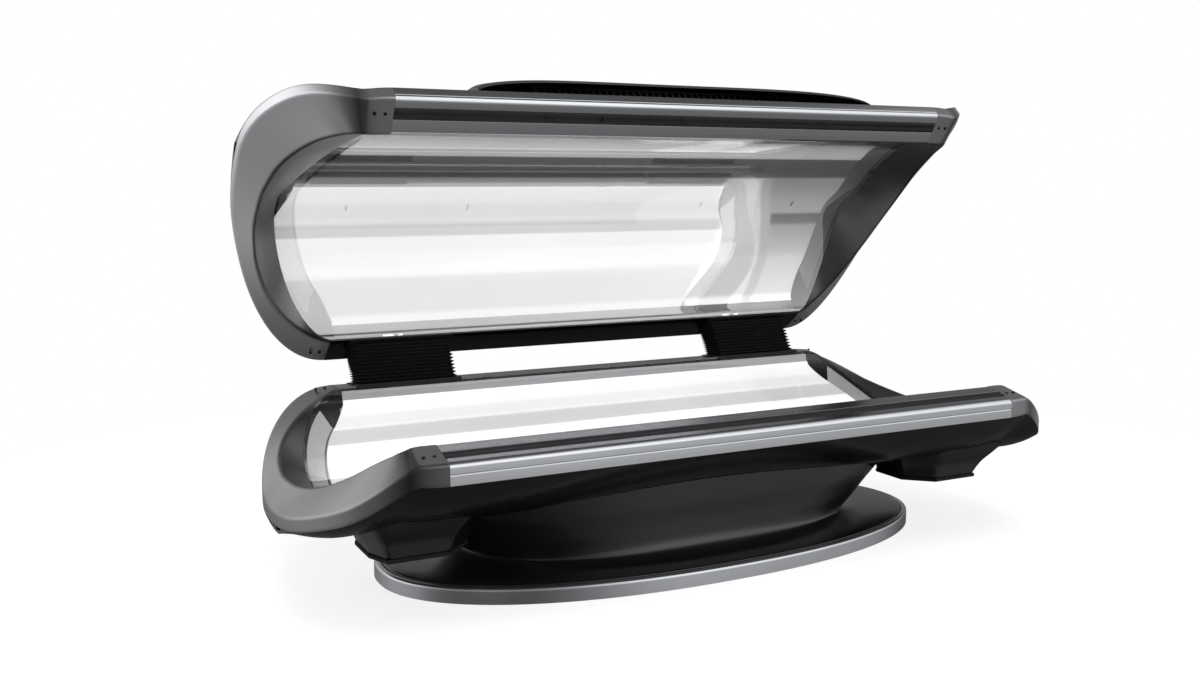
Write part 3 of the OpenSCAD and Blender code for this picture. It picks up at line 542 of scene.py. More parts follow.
def cap_rows(key):
    """Closed sections of a right cap: side, face, inner lip, inner rise, back; with a level for each point
    that paints shade and reflection on it.
    """
    rows, painted_light = [], []
    up = np.array([0, 0, 1.0])
    for O, I, A, h in STATIONS[key]:
        D, E = unit(I - O), unit(A - I)
        d, e = np.append(unit((I - O)[:2]), 0), np.append(unit((A - I)[:2]), 0)
        P = [O + d * 1.3 + up * h, O + d * 1.3 + up * (h - 1.7), O + d * .25 + up * (h - 2.3)]
        P += [O + up * (h - 3.2)]
        P += [O + up * v for v in np.linspace(h - 8, 9, 3)]
        P += list(bend(O + up * 7, O, O + 7 * D, 8))
        P += [O + D * s for s in np.linspace(10, np.linalg.norm(I - O) - 11, 7)]
        P += list(bend(I - 9 * D, I, I + 9 * E, 9))
        rise = np.linalg.norm(A - I)
        P += [I + E * s for s in np.linspace(min(11, rise * .7), rise, 4)]
        P += [A - 2 * e + up * SKIN, I - 2 * d + up * (SKIN + 4), O + 6 * d + up * (SKIN + 1),
              O + SKIN * d + up * (h - 7.5)]
        rows.append(P)
        # Painted reflection and painted shade along the rim: dark on the flat screw zone, darkest on the bend
        # past it, lighter towards the tip; on the rear half, darker near the rail
        front = O[1] < 330
        if front:
            shade = np.interp(O[0] - X0, [0, 52, 60, 84, 110, 150, 200], [.36, .36, .3, .13, .35, .85, 1.0])
        else:
            shade = np.interp(O[0] - X0, [0, 60, 150, 289], [.55, .55, .75, 1.0])
        # Painted shade on the turned-in lip, the inner rise and the back; the lip is lighter on the bed's
        # rear half
        lip = .3 if key == "bed" and not front else .09
        high = .36 if key == "bed" else .32
        turn = np.interp(range(9), [0, 2, 4, 6, 8], [.95, .55, lip, lip * 1.3, high * .8])
        painted_levels = [1.0] * 22 + list(turn) + list(np.linspace(high * .85, high, 4)) + [.3] * 4
        painted_light.append([shade * t for t in painted_levels])
    return np.array(rows), np.array(painted_light)


def mirrored(rows):
    r = np.array(rows)
    r[..., 0] *= -1
    return r


BODY = {"bed": "base", "canopy": "canopy"}
PLACE = {"bed": to_bed, "canopy": to_canopy}
SECTION = {"bed": BED, "canopy": CANOPY}
# Painted shade over the bed's left cap, which faces away from the softbox; painted highlight on its right
# cap, brightest at its front
BED_LEFT_PAINTED_SHADE, LIT_FROM, LIT_TO = .42, 100, 260


def settle(ob, body, nodes):
    """Let a piece ride on a body and stand for one CAD node or more."""
    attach(ob, body)
    for node in [nodes] if isinstance(nodes, str) else nodes:
        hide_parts(node)


for key in ("bed", "canopy"):
    rows, painted_light = cap_rows(key)
    for s, r in (("left", mirrored(rows)), ("right", rows)):
        # Painted shade on the inner rows of the canopy's right cap
        if (key, s) == ("canopy", "right"):
            painted_light[:, 25:] *= .5
        # Painted shade on the bed's left cap; painted highlight on its right cap, strongest at the front
        if key == "bed" and s == "left":
            painted_light *= BED_LEFT_PAINTED_SHADE
        elif key == "bed":
            rim_us = [station[0][1] for station in STATIONS[key]]
            painted_light *= np.interp(rim_us, [LIT_FROM, LIT_TO], [1 / BED_LEFT_PAINTED_SHADE, 1.15])[:, None]
        ob = loft(f"{key}_cap_{s}", PLACE[key](r), M["cap"], smooth=38, painted_light=painted_light)
        settle(ob, BODY[key], f"{key}_end_cap_{s}")

# Skins
def tub_power(x, S):
    """Fullness of a shell's back at x; the canopy's grows towards its ends."""
    return 2.2 if S.rear == 0 else 2.2 + 1.1 * min(1, x * x / 550 ** 2)


def crest(x, S):
    return S.shoulder + (S.crown - S.shoulder) * math.sqrt(max(0, 1 - (abs(x) / TIP_X) ** 4))


def edges(x, S):
    """Front and rear edge of a shell at x, as u and v."""
    q = min(1, max(0, (abs(x) - X0) / BULGE))
    a, b = rim_u(q, False), rim_u(q, True)
    return a, b, rim_v(a, S.rear) + side_f(q, S) + .2, rim_v(b, S.rear) + side(q) + .2


def skin_v(u, x, S):
    """Height of a shell's back at a place."""
    a, b, va, vb = edges(x, S)
    s = max(-1, min(1, (u - (a + b) / 2) / ((b - a) / 2 - 1)))
    return va + (vb - va) * (s + 1) / 2 + (crest(x, S) - (va + vb) / 2) * (1 - abs(s) ** tub_power(x, S))


def tub_line(x, S, inner, n=56):
    """Section of a shell's outer or inner face at x."""
    a, b, va, vb = edges(x, S)
    half, deep = max(.5, (b - a) / 2 - 1), crest(x, S) - (va + vb) / 2
    reach = max(half - SKIN * 1.4, half * .6) if inner else half
    deep = max(.5, deep - SKIN) if inner else max(deep, 3)
    out = []
    for i in range(n + 1):
        s = -math.cos(math.pi * i / n)
        base = va + (vb - va) * (s * reach / half + 1) / 2
        out.append([x, (a + b) / 2 + reach * s, base + deep * (1 - abs(s) ** tub_power(x, S))])
    return out


def tub(S):
    """Sections of a whole shell, closer together towards its tips."""
    xs = [X0 + BULGE * math.sin(math.pi / 2 * i / 26) for i in range(27)]
    xs[-1] = X0 + BULGE * .9985
    half = list(np.linspace(0, X0, 13)[1:-1]) + xs
    full = [-x for x in half[::-1]] + [0.0] + half
    return [tub_line(x, S, False) + tub_line(x, S, True)[::-1] for x in full]


bed_shell = loft("bed_shell_skin", to_bed(tub(BED)), M["shell"], smooth=35)
# Openings for the hinge brackets and the struts
cut(bed_shell, [block((s * 637.5 - 87.5, 331, 248), (s * 637.5 + 87.5, 539, 388)) for s in (-1, 1)])
settle(bed_shell, "base", "bed_shell")
can_shell = loft("canopy_shell_skin", to_canopy(tub(CANOPY)), M["shell"], smooth=35)
# Slots for the hinge arms, and round holes for the hood fans, square to the shell
cutters = [block((s * 600 - 38, CHORD - 80, SIDE - 10), (s * 600 + 38, CHORD + 60, SIDE + 85), to_canopy)
           for s in (-1, 1)]
FAN_X, FAN_U, FAN_V, FAN_HOLE, FAN_SLOPE, FAN_DEPTH = 275, 191, 168.2, 54, math.radians(40), 80
fan_cos, fan_sin = math.cos(FAN_SLOPE), math.sin(FAN_SLOPE)
turns = np.linspace(0, 2 * math.pi, 48, endpoint=False)
for s in (-1, 1):
    tube = [[[s * FAN_X + FAN_HOLE * math.cos(t), FAN_U + FAN_HOLE * math.sin(t) * fan_cos - z * fan_sin,
              FAN_V + FAN_HOLE * math.sin(t) * fan_sin + z * fan_cos] for t in turns] for z in (0, FAN_DEPTH)]
    cutters.append(loft("cutter", to_canopy(tube), None))
cut(can_shell, cutters)
settle(can_shell, "canopy", "canopy_shell")

# Rails: rounded extrusions. The front rail's face and seal groove, the rear rail, and the seal's outline
FRONT_FACE = [[0, 6], [6, -1.8], [24, -7.15], [24, -2.2], [53, -10.8], [53, -15.8], [84, -25], [92, -21],
              [92, -11.5], [76, -11.5], [76, 0], [66, 8]]
FRONT_RADII = [4.5, 4.5, .6, .6, .6, .6, 3, 3] + [1] * 7 + [.3] * 3
REAR_RAIL = [[-107, -5.4], [-86, -4.4], [0, 5], [0, 54], [-8, 54], [-55, 28], [-86, 8], [-86, 0], [-107, 0]]
REAR_RADII = [1, 2, 4, 1, 1, 1, 1, 1, 1]
SEAL = [[24.2, -6.4], [24.2, -2.5], [52.8, -11], [52.8, -15], [46, -16.6], [40, -12.3], [36, -11], [30, -12]]
SEAL_RADII = [.5] * 4 + [2.5] * 4
# Step on the outer side, height of the side, painted shade on the front rail's upper face, painted shade on
# the rear rail
RAILS = {"bed": (1.4, SIDE, .6, .3), "canopy": (.8, FACE, .7, .12)}
for key, (step, height, upper_face_painted_shade, rear_rail_painted_shade) in RAILS.items():
    P = FRONT_FACE + [[30, 5.5 + height / 2], [8, height], [0, height], [0, height - 22], [step, height - 24],
                      [0, height - 26]]
    ob = extrude(f"{key}_front_rail_form", fillet(P, FRONT_RADII, 5), PLACE[key], M["rail"],
                 painted_light=lambda u, v: upper_face_painted_shade if u > 6.2 and v < 2 else 1.0)
    settle(ob, BODY[key], f"{key}_front_rail")
    P = [[CHORD + a, b + SECTION[key].rear] for a, b in REAR_RAIL]
    ob = extrude(f"{key}_rear_rail_form", fillet(P, REAR_RADII, 4), PLACE[key], M["rail"],
                 painted_light=lambda u, v: rear_rail_painted_shade)
    if key == "bed":
        # Notches for the struts
        cut(ob, [block((s * 700 - 15, 404, 338), (s * 700 + 15, 490, 458)) for s in (-1, 1)])
    settle(ob, BODY[key], f"{key}_rear_rail")
    ob = extrude(f"{key}_gasket_form", fillet(SEAL, SEAL_RADII, 4), PLACE[key], M["gasket"])
    settle(ob, BODY[key], f"{key}_gasket")

# Cable clips in the groove of the canopy's front rail
def spread(name, points, size, mat, turn, seed=3):
    """Small blocks on given points, by a node tree; size in metres, turn is the random tilt in radians."""
    me = bpy.data.meshes.new(name)
    me.from_pydata([tuple(p) for p in points], [], [])
    ob = bpy.data.objects.new(name, me)
    bpy.context.scene.collection.objects.link(ob)
    tree = bpy.data.node_groups.new(name + "_tree", "GeometryNodeTree")
    values = {}
    for label, kind, value in (("Geometry", "Geometry", None), ("Block size", "Vector", size),
                               ("Tilt", "Float", turn), ("Seed", "Int", seed)):
        socket = tree.interface.new_socket(label, in_out="INPUT", socket_type="NodeSocket" + kind)
        values[socket.identifier] = value
    tree.interface.new_socket("Geometry", in_out="OUTPUT", socket_type="NodeSocketGeometry")
    given = add(tree, "NodeGroupInput").outputs
    tilt = add(tree, "FunctionNodeRandomValue", {"Seed": given["Seed"]})
    # A random value has sockets of its kinds side by side; these are its numbers
    low, high = [q for q in tilt.inputs if q.type == "VALUE"][:2]
    tree.links.new(add(tree, "Math MULTIPLY", [given["Tilt"], -1]).outputs[0], low)
    tree.links.new(given["Tilt"], high)
    angle = [q for q in tilt.outputs if q.type == "VALUE"][0]
    cube = add(tree, "GeometryNodeMeshCube", {"Size": given["Block size"]})
    tilted = add(tree, "CombineXYZ", {2: angle})
    blocks = add(tree, "GeometryNodeInstanceOnPoints",
                 {"Points": given["Geometry"], "Instance": cube, "Rotation": tilted})
    real = add(tree, "GeometryNodeRealizeInstances", [blocks])
    add(tree, "NodeGroupOutput", [add(tree, "GeometryNodeSetMaterial", {"Geometry": real, "Material": mat})])
    mod = ob.modifiers.new("spread", "NODES")
    mod.node_group = tree
    for identifier, value in values.items():
        if value is not None:
            mod[identifier] = value
    dep = bpy.context.evaluated_depsgraph_get()
    ob.data = bpy.data.meshes.new_from_object(ob.evaluated_get(dep))
    ob.modifiers.remove(mod)
    return ob


def join(first, *others):
    """Put other pieces' meshes into the first one's, and delete them."""
    bm = bmesh.new()
    for ob in (first,) + others:
        bm.from_mesh(ob.data)
    bm.to_mesh(first.data)
    bm.free()
    for ob in others:
        bpy.data.objects.remove(ob)
    return first


def groove(x, u):
    """Place of a clip, just under the slope of the seal groove."""
    return to_canopy(np.array([[x, u, -6.4 - (u - 24.2) * .3007 - .9]]))[0]


# Each clip's x, u and length
CLIPS = [(-420, 34, 26), (-32, 34, 24), (32, 33, 14), (362, 34, 22), (424, 34, 26), (-272, 36, 8),
         (-272, 44, 8)]
lengths = sorted({length for x, u, length in CLIPS})
clips = join(*[spread(f"clips_{length}", [groove(x, u) for x, u, v in CLIPS if v == length],
                      (length / 1000, .011, .004), M["matte"], .02) for length in lengths])
clips.name = "groove_clips"
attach(clips, "canopy")

# Sheets that follow the curve: clear sheet, light boards, reflector
def half_width(key, m, u):
    """Half width at u of the clear sheet's outline, moved in by m."""
    P = np.array([A[:2] + unit((A - I)[:2]) * m for O, I, A, h in STATIONS[key]])
    P = P[np.argsort(P[:, 1])]
    if u <= P[0, 1] or u >= P[-1, 1]:
        return X0 - .5
    return max(X0 - .5, float(np.interp(u, P[:, 1], P[:, 0])))


def within_sheet(u):
    return min(max(u, SHEET_FRONT), SHEET_REAR)


def curved(name, key, us, width, offs, t, mat, nx):
    """Sheet t thick along the curve, nx points wide; offs is its depth at each u."""
    S = SECTION[key]
    top, bottom, lit, back = [], [], [], []
    for u, off in zip(us, offs):
        xs = np.linspace(-width(u), width(u), nx)
        v = sheet_v(u, S) if within_sheet(u) == u else (-5 if u < SHEET_FRONT else S.rear)
        top.append([[x, u, v + off] for x in xs])
        bottom.append([[x, u, v + off + t] for x in xs])
        lit.append([[x / 1000, u / 1000, 1] for x in xs])
        back.append([[x / 1000, u / 1000, 0] for x in xs])
    m = len(us)
    F = []
    for b in (0, m):
        F += [[(b + i) * nx + j, (b + i) * nx + j + 1, (b + i + 1) * nx + j + 1, (b + i + 1) * nx + j]
              for i in range(m - 1) for j in range(nx - 1)]
    for j in (0, nx - 1):
        F += [[i * nx + j, (i + 1) * nx + j, (m + i + 1) * nx + j, (m + i) * nx + j] for i in range(m - 1)]
    for i in (0, m - 1):
        F += [[i * nx + j, i * nx + j + 1, (m + i) * nx + j + 1, (m + i) * nx + j] for j in range(nx - 1)]
    return build(name, PLACE[key](np.array(top + bottom)), F, mat, 50, uv=np.array(lit + back))


# Slopes of the canopy's drawn sheet by u, flatter in the middle than its section curve; beyond, its own
LEAN = [(300, .30), (362, .255), (404, .262), (418, .20), (483, .072), (502, .048), (546, 0), (584, -.044),
        (614, -.08), (647, -.12), (674, -.148), (711, -.216), (746, -.292), (776, -.36), (820, -.492),
        (858, -.636), (889, -.768), (897, -.8), (902, -.8)]
LEAN_FROM, LEAN_TO = 200, 906


def lean_normals(ob, us, nx):
    """Shade the clear sheet by the slopes in LEAN, so that it mirrors the bed as a drawn sheet does."""
    def own(u):
        u = min(max(u, SHEET_FRONT + 2), SHEET_REAR - 2)
        return (sheet_v(u + 1, CANOPY) - sheet_v(u - 1, CANOPY)) / 2

    stops = [(LEAN_FROM, own(LEAN_FROM))] + LEAN + [(LEAN_TO, own(LEAN_TO))]
    slopes = pchip([u for u, slope in stops], [slope for u, slope in stops],
                   [min(max(u, LEAN_FROM), LEAN_TO) for u in us])
    c, sn = math.cos(TILT), math.sin(TILT)
    normals = []
    for sign in (1, -1):
        for u, slope in zip(us, slopes):
            a = math.atan(slope if LEAN_FROM < u < LEAN_TO else own(u))
            y, z = math.sin(a) * sign, -math.cos(a) * sign
            normals += [(0, y * c + z * sn, -y * sn + z * c)] * nx
    ob.data.normals_split_custom_set_from_vertices(normals)


def end_wall(key, deep):
    """Sections of the wall that closes the right end of the light box."""
    rows = []
    for O, I, A, h in STATIONS[key][30:139]:
        d = unit((A - I)[:2])
        lip, foot, back = A[:2] + d * 9, A[:2] + d * 49, A[:2] + d * 51.5
        v = [sheet_v(within_sheet(p[1]), SECTION[key]) for p in (lip, foot, back)]
        rows.append([[*lip, v[0] + 10], [*foot, v[1] + deep], [back[0] - 2, back[1], v[2] + deep + 2],
                     [*foot, v[1] + deep + 2], [lip[0] + 1.2, lip[1], v[0] + 12]])
    return rows


# Steps of u from the sheet's flat front edge through its first bend, over its curve and round its rear edge
FRONT_STEPS = [72, 85, 96, 100.2, 102, 105, 109, 114, 120, 128, 138, 150, 165, 182, 202]
REAR_STEPS = [870, 876, 882, 888, 892, 896, 899, 901, 903, 904, 905, 912, 920]
SHEET_STEPS = FRONT_STEPS + list(np.linspace(212, 862, 66)) + REAR_STEPS
BOARD_STEPS = list(np.linspace(250, 882, 46)) + [888, 893, 897]
# Levels of light from front to rear, the canopy's with painted shade and painted highlight in them; and where
# the painted bright band near the canopy's right end starts and stops
CANOPY_LEVELS_WITH_PAINTED_LIGHT = [(0, .25), (.24, .25), (.27, .7), (.352, .9), (.358, .06), (.478, .05), (.486, .40),
                  (.6, .46), (.795, .46), (.803, .52), (.885, .52), (.889, .9), (.9, .9)]
PAINTED_BAND_START = [(.513, .411), (.639, .462), (.706, .487), (.761, .476), (.836, .421), (.888, .359)]
PAINTED_BAND_STOP = [(.5, .56), (.678, .653), (.777, .669), (.814, .662), (.87, .625), (.904, .576)]
BED_STRIPES = [(0, .95), (.6, 1.0), (.776, .97), (.782, .42), (.826, .46), (.831, .86), (.838, .72),
               (.862, .74), (.868, .86), (.885, .90), (.9, .95)]
PANELS = {
    # Opal acrylic, moulded: a white light with painted shade and painted highlight in bands along it, and a
    # painted bright band near its right end
    "canopy": panel("opal_acrylic_canopy", CANOPY_LEVELS_WITH_PAINTED_LIGHT, 1.0, (PAINTED_BAND_START, PAINTED_BAND_STOP)),
    # The same opal sheet in the bed, a little dimmer: an even white light with soft stripes where the tube
    # rows lie
    "bed": panel("opal_acrylic_bed", BED_STRIPES, .82),
}
# Depth of the light boards and of the end walls under the clear sheet
BOARD_DEPTH = {"bed": 18.7, "canopy": 22.7}
WALL_DEPTH = {"bed": 22, "canopy": 25}
for key in ("bed", "canopy"):
    ob = curved(f"{key}_clear_sheet", key, SHEET_STEPS, lambda u: half_width(key, .4, u),
                [.4] * len(SHEET_STEPS), 5, M[f"{key}_sheet"], 90)
    if key == "canopy":
        lean_normals(ob, SHEET_STEPS, 90)
    settle(ob, BODY[key], f"{key}_acrylic")

    def inner(u, m=60, lo=281, hi=833):
        """Half width inside the end walls, drawn in towards the front and the rear."""
        w = half_width(key, m, min(max(u, lo), hi))
        if u < lo:
            w = np.interp(u, [134, lo], [790, w])
        if u > hi:
            w = np.interp(u, [hi, 892], [w, 797])
        return float(w)

    depth = BOARD_DEPTH[key]
    ob = curved(f"{key}_boards_form", key, BOARD_STEPS, inner,
                [depth] * 46 + [depth - .5, depth - 2, depth - 4], 3, PANELS[key], 60)
    settle(ob, BODY[key], f"{key}_light_boards")
    low = depth + 3.3
    tray = [(106, 7.5), (112, 8), (118, 9.5), (130.6, 11), (132.6, low * .6 + 4), (134.6, low)]
    tray += [(u, low) for u in list(np.linspace(140, 250, 12)) + list(np.linspace(262, 886, 40))]
    tray += [(892, low - 1), (898, low - 2), (902, 15), (906, 8)]
    ob = curved(f"{key}_reflector_form", key, [u for u, v in tray], lambda u: inner(u, 56, 104, 890),
                [v for u, v in tray], 1.5, M["reflector"], 40)
    settle(ob, BODY[key], f"{key}_reflector")
    rows = end_wall(key, WALL_DEPTH[key])
    walls = join(*[loft(f"{key}_wall", PLACE[key](r), M["endwall"]) for r in (rows, mirrored(rows))])
    walls.name = f"{key}_end_wall_form"
    settle(walls, BODY[key], f"{key}_end_reflectors")

# Hood
HOOD_HALF = 594


def hood_section(x):
    """Closed section of the vent hood at x, over the canopy's back."""
    a = min(1, abs(x) / HOOD_HALF)
    low_u, high_u = 14 + 46 * (1 - a * a), 34 + 306 * math.sqrt(max(0, 1 - a ** 2.2))
    h = 3 + 52 * math.sqrt(max(0, 1 - a ** 4))
    mid_u = (low_u + high_u) / 2
    rest = high_u - mid_u

    def above(u, gap):
        return [x, u, skin_v(u, x, CANOPY) + max(gap, .4)]

    us = [low_u - 3, low_u + 2, low_u + (mid_u - low_u) * .5, mid_u, mid_u + rest * .6, high_u]
    gaps = [h - 5, h, h * .97 + 1, h * .8 + 1, h * .42 + 1, 1]
    k = np.linspace(0, 5, 30)
    out = [above(low_u + 3, h - 12), above(low_u - 1, h - 9.5)]
    out += [above(u, gap) for u, gap in zip(pchip(range(6), us, k), pchip(range(6), gaps, k))]
    out += [above(high_u - 3, .4), above(mid_u + rest * .55, h * .42 - 4), above(mid_u, h * .8 - 4),
            above(low_u + 8, h - 9)]
    return out


hood_x = [HOOD_HALF * math.sin(math.pi / 2 * i / 30) for i in range(-30, 31)]
ob = loft("vent_hood_form", to_canopy([hood_section(x) for x in hood_x]), M["hood"], smooth=50)
settle(ob, "canopy", "vent_hood")

# Pedestal and plinth
def oval(a, b, n=180):
    """Oval with full sides, a and b its half length and half width."""
    t = np.linspace(0, 2 * math.pi, n, endpoint=False)
    c, s = np.cos(t), np.sin(t)
    return np.column_stack([a * np.sign(c) * np.abs(c) ** .897, b * np.sign(s) * np.abs(s) ** .897])


def ring(a, b, z, n=180):
    return np.column_stack([oval(a, b, n), np.full(n, z)])


# Steps of the pedestal: change of half length and of half width from the plinth's, and height
PLINTH_A, PLINTH_B = 818, 388
PEDESTAL_STEPS = [(-18, -18, 35.2), (-19, -19, 41), (-28, -26, 44), (-90, -48, 49), (-185, -84, 53),
                  (-224, -100, 64), (-198, -111, 80), (-170, -114, 100), (-136, -113, 130),
                  (-106, -110, 155), (-75, -105, 182)]


def belly_z(x, y):
    """Height of the bed's belly at a place."""
    return EDGE - skin_v(y - BED_Y, x, BED)


def dense_rows(rows, sub):
    """Smooth rows between the given ones, sub for each gap."""
    rows = np.array(rows)
    w = np.concatenate([[0], np.cumsum(np.mean(np.linalg.norm(np.diff(rows, axis=0), axis=2), axis=1))])
    wi = [np.linspace(w[i], w[i + 1], sub, endpoint=False) for i in range(len(w) - 1)]
    wi = np.concatenate(wi + [[w[-1]]])
    return pchip(w, rows.reshape(len(w), -1), wi).reshape(len(wi), rows.shape[1], 3)


def pedestal_rows(grow):
    """Rows from the plinth up to the bed's belly, grown outwards."""
    top = np.array([[x, y, belly_z(x, y) - 1.5] for x, y in oval(766 + grow, 287 + grow)])
    rows = [ring(PLINTH_A + a + grow, PLINTH_B + b + grow, z) for a, b, z in PEDESTAL_STEPS]
    return dense_rows(rows + [top], 4)


outer, inside = pedestal_rows(0), pedestal_rows(-SKIN)
inside[:, :, 2] -= np.where(inside[:, :, 2] < 66, 4.0, 0)
inside[:4, :, 2] += 4
rows = to_world(np.concatenate([outer, inside[::-1]]))
ped = loft("pedestal_form", rows, M["pedestal"], ring=True, smooth=50)
# Opening for the mains inlet
cut(ped, [block((-30.3, 255, 91.7), (30.3, 345, 128.3))])
settle(ped, "base", "pedestal_cover")
PLINTH_EDGE = [[0, 0], [0, 33], [2, 37.5], [7, 40], [14, 40], [17, 35], [26, 35], [26, 0]]
edge = fillet(PLINTH_EDGE, [0, 6, 3, 4, 2, 1.5, 1, 0], 5)
rows = [ring(PLINTH_A - p[0], PLINTH_B - p[0], p[1], 240) for p in edge]
plinth = loft("plinth_rim_form", to_world(rows), M["plinth"], ring=True, smooth=45)
settle(plinth, "base", "plinth_rim")

# Intake cowls: an eight-sided outline that flares up to the belly
COWL_CENTRE = np.array([795.0, BED_Y + 328])
COWL_OUTLINE = [[-54, -120], [91, -120], [116, -55], [116, 55], [91, 120], [-54, 120], [-123, 55],
                [-123, -55]]
# Height of a cowl by the scale of its outline
COWL_SCALES, COWL_HEIGHTS = [1, 1.1, 1.25, 1.45, 1.6, 1.8], [160.2, 187, 211, 238, 262, 330]


def dense_outline(P, gap):
    """A closed outline with points no further apart than gap."""
    out = []
    for a, b in zip(P, np.roll(P, -1, axis=0)):
        k = max(1, int(np.linalg.norm(b - a) // gap))
        out += [a + (b - a) * t / k for t in range(k)]
    return out


def cowl_z(scale):
    return float(np.interp(scale, COWL_SCALES, COWL_HEIGHTS))


def meeting_scale(p):
    """Scale at which a point of the outline meets the belly, found by halving."""
    a, b = COWL_SCALES[0], COWL_SCALES[-1]
    for _ in range(14):
        m = (a + b) / 2
        if belly_z(*(COWL_CENTRE + p * m)) - .9 > cowl_z(m):
            a = m
        else:
            b = m
    return (a + b) / 2


COWL_POINTS = dense_outline(fillet(COWL_OUTLINE, 13, 5), 14)
MEET = [meeting_scale(p) for p in COWL_POINTS]


def cowl_line(f, wall):
    """Line at share f of the way up to the belly, moved in by the wall."""
    out = []
    for p, meet in zip(COWL_POINTS, MEET):
        scale = 1 + (meet - 1) * f
        q = COWL_CENTRE + p * (scale - wall / np.linalg.norm(p))
        out.append([q[0], q[1], belly_z(*q) - .9 if f == 1 else cowl_z(scale)])
    return out


outer, inside = (dense_rows([cowl_line(f, wall) for f in (0, .3, .65, 1)], 5) for wall in (0, SKIN))
shell = np.concatenate([outer, inside[::-1]])
core = loft("core", to_world(list(pedestal_rows(2)) + [ring(768, 289, 300)]), None)
for s, r in (("right", shell), ("left", mirrored(shell))):
    ob = loft(f"intake_cowl_{s}_form", to_world(r), M["shell"], ring=True, smooth=32)
    cut(ob, [core], keep=True)
    settle(ob, "base", f"intake_cowl_{s}")
bpy.data.objects.remove(core)

# Bellows: pleats with rounded tips and corners, from the bed's rear edge up to the canopy's, as (y, z)
BELLOWS_FOOT = np.array([[BED_Y + 908, EDGE + 27.1], [BED_Y + 1001, EDGE + 18.5]])
BELLOWS_TOP = np.array([[HINGE_Y - 64, HINGE_Z + 140.2], [HINGE_Y + 1, HINGE_Z + 89.4]])
BELLOWS_X, BELLOWS_HALF, PLEATS, PLEAT_DEPTH, BELLOWS_WALL = 600, 148, 11, 8, 1.6


def pleat(f, wall):
    """Closed line round the bellows at share f of its height."""
    a, b = BELLOWS_FOOT + (BELLOWS_TOP - BELLOWS_FOOT) * f
    d = unit(b - a)
    fold = abs((f * PLEATS) % 1 * 2 - 1)
    o = PLEAT_DEPTH * min(max((fold - .06) / .9, 0), 1) + wall
    x, front, rear = BELLOWS_HALF - o, a + d * o, b - d * o * .7
    length = np.linalg.norm(rear - front)
    corners = fillet([[-x, 0], [x, 0], [x, length], [-x, length]], 9 - .5 * wall, 4)
    return [[BELLOWS_X + c[0], front[0] + d[0] * c[1], front[1] + d[1] * c[1]] for c in corners]


shares = np.linspace(0, 1, PLEATS * 8 + 1)
rows = np.array([pleat(f, 0) for f in shares] + [pleat(f, BELLOWS_WALL) for f in shares[::-1]])
for s, r in (("right", rows), ("left", mirrored(rows))):
    ob = loft(f"bellows_{s}_form", to_world(r), M["bellows"], ring=True, smooth=60)
    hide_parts(f"bellows_{s}")
    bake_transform(ob)

# Materials of the carried-over CAD nodes
NODE_MAT = {
    "inner": ["plinth_base", "pedestal_frame", "bed_frame", "canopy_frame"],
    "supply": ["power_supplies"],
    "matte": ["control_unit", "mains_inlet", "bellows_base_plates", "bellows_top_plates", "vent_grille"]
    + [f"{piece}_{s}" for piece in ("intake_grille", "intake_fan_frame", "hood_fan_frame")
       for s in ("left", "right")],
    "fan": [f"{piece}_{s}" for piece in ("intake_fan_rotor", "hood_fan_rotor") for s in ("left", "right")],
    "screw": ["bed_cap_screws", "canopy_cap_screws"],
    "hinge": ["hinge_bracket_left", "hinge_bracket_right", "hinge_arm_left", "hinge_arm_right", "strut_lugs"],
    "bright": ["hinge_pins", "strut_rod_left", "strut_rod_right"],
    "strut": ["strut_cylinder_left", "strut_cylinder_right"],
}
for finish, names in NODE_MAT.items():
    for name in names:
        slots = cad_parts[name].data.materials
        slots.clear()
        slots.append(M[finish])

# Stage: pale floor that only the camera sees as white, and that mirrors leave out
floor_mat, tree, shader = material("stage_floor")
rays = add(tree, "LightPath").outputs
from_centre = add(tree, "VectorMath LENGTH", [add(tree, "TexCoord").outputs["Object"]]).outputs["Value"]
far = add(tree, "MapRange", [from_centre, 1.0, 2.6, 0, 1])
grey, black, white = linear("#9e9e9e"), linear("#000000"), linear("#ffffff")
lit = add(tree, "Mix", {0: far, 6: grey, 7: black}, data_type="RGBA").outputs[2]
seen = add(tree, "Mix", {0: rays["Is Camera Ray"], 6: linear("#898989"), 7: lit}, data_type="RGBA").outputs[2]
glow = add(tree, "Math MULTIPLY", [rays["Is Camera Ray"], add(tree, "MapRange", [far, 0, 1, .76, 1])])
feed(shader, {"Base Color": seen, "Roughness": .8, "Specular IOR Level": 0, "Emission Color": white,
              "Emission Strength": glow})
swap = add(tree, "MixShader", [rays["Is Glossy Ray"], shader, add(tree, "BsdfTransparent")])
feed(tree.nodes["Material Output"], {"Surface": swap})
bpy.ops.mesh.primitive_plane_add(size=60, location=(0, 0, -.0005))
floor = bpy.context.object
floor.name = "stage_floor"
floor.data.materials.append(floor_mat)

# Studio light by compass angle in degrees, 0 at the right and -90 in front: one long softbox at the front
# right, one at the rear left
AROUND = [(-180, .42), (-163, .17), (-142, .09), (-124, .14), (-109, .07), (-96, .13), (-84, .30), (-74, .52),
          (-64, .61), (-52, .52), (-36, .46), (-18, .40), (-6, .28), (8, .12), (25, .08), (60, .10),
          (87, .14), (113, .33), (143, .5), (180, .42)]
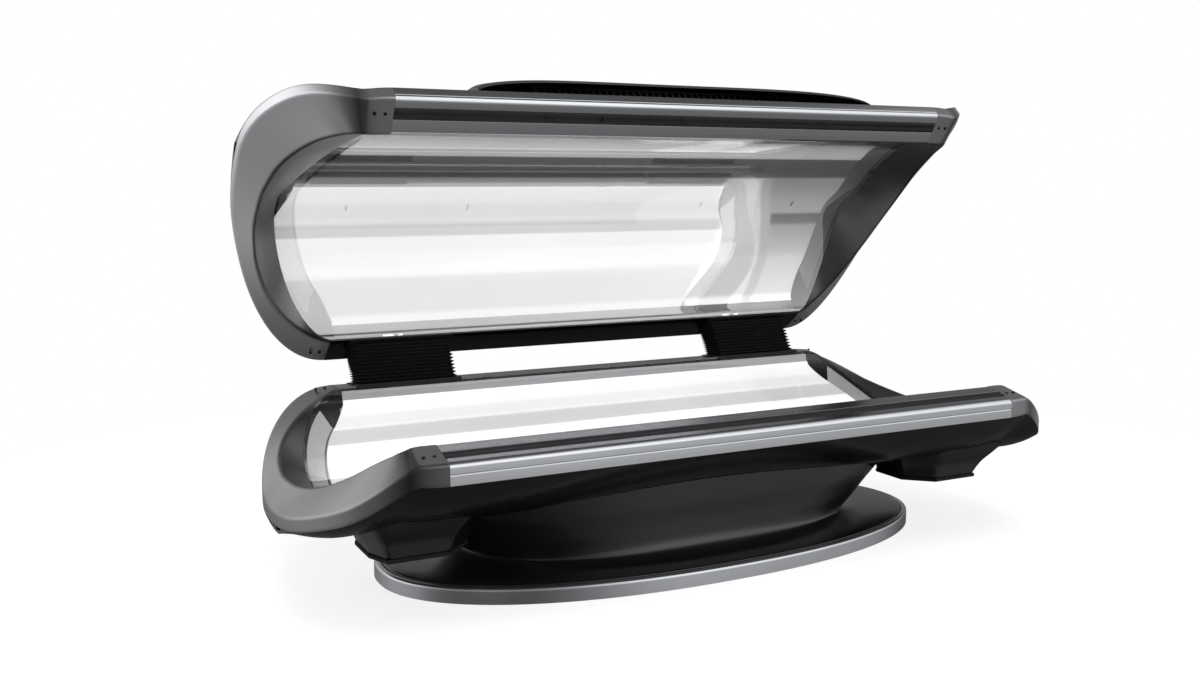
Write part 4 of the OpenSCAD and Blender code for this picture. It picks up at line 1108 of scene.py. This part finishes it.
# The same by height, from straight down to straight up, in thirds of full strength
UPWARDS = [(-1, .45), (-.7, .6), (-.33, 1.0), (-.12, 1.2), (.02, 1.8), (.08, 2.9), (.5, 3.0), (.72, 2.4),
           (.84, .4), (1, .3)]
world = bpy.data.worlds.new("studio")
bpy.context.scene.world = world
world.use_nodes = True
tree = world.node_tree
tree.nodes.clear()
x, y, z = add(tree, "SeparateXYZ", [add(tree, "TexCoord").outputs["Generated"]]).outputs
compass = add(tree, "MapRange", [add(tree, "Math ARCTAN2", [y, x]), -math.pi, math.pi, 0, 1])
height = add(tree, "MapRange", [z, -1, 1, 0, 1])
around = levels(tree, compass, [((angle + 180) / 360, level) for angle, level in AROUND])
upwards = levels(tree, height, [((share + 1) / 2, level / 3) for share, level in UPWARDS])
both = add(tree, "Mix", {0: 1, 6: around, 7: upwards}, data_type="RGBA", blend_type="MULTIPLY").outputs[2]
overhead = add(tree, "MapRange", [z, .76, .9, 0, 1])
dome = add(tree, "Mix", {0: overhead, 6: both, 7: linear("#3c3c3c")}, data_type="RGBA").outputs[2]
studio = add(tree, "Background", {"Color": dome, "Strength": 3})
backdrop = add(tree, "Background", {"Color": white, "Strength": 1})
pick = add(tree, "MixShader", [add(tree, "LightPath").outputs["Is Camera Ray"], studio, backdrop])
add(tree, "OutputWorld", {"Surface": pick})


def area(name, loc, target, size, power):
    """Soft lamp for matt surfaces; it does not show in polished ones."""
    lamp = bpy.data.lights.new(name, "AREA")
    lamp.shape = "RECTANGLE"
    lamp.size, lamp.size_y = size
    lamp.energy = power
    ob = bpy.data.objects.new(name, lamp)
    bpy.context.scene.collection.objects.link(ob)
    ob.location = loc
    ob.rotation_euler = (Vector(target) - Vector(loc)).to_track_quat("-Z", "Y").to_euler()
    ob.visible_glossy = False


area("key_top", (-.6, -1.4, 4.2), (0, 0, .5), (4.5, 3.0), 170)
area("fill_front", (-1.2, -4.4, 1.8), (0, 0, .5), (3.6, 1.8), 60)
area("rear_soft", (.8, 3.8, 2.8), (0, 0, .7), (3.5, 2.0), 70)
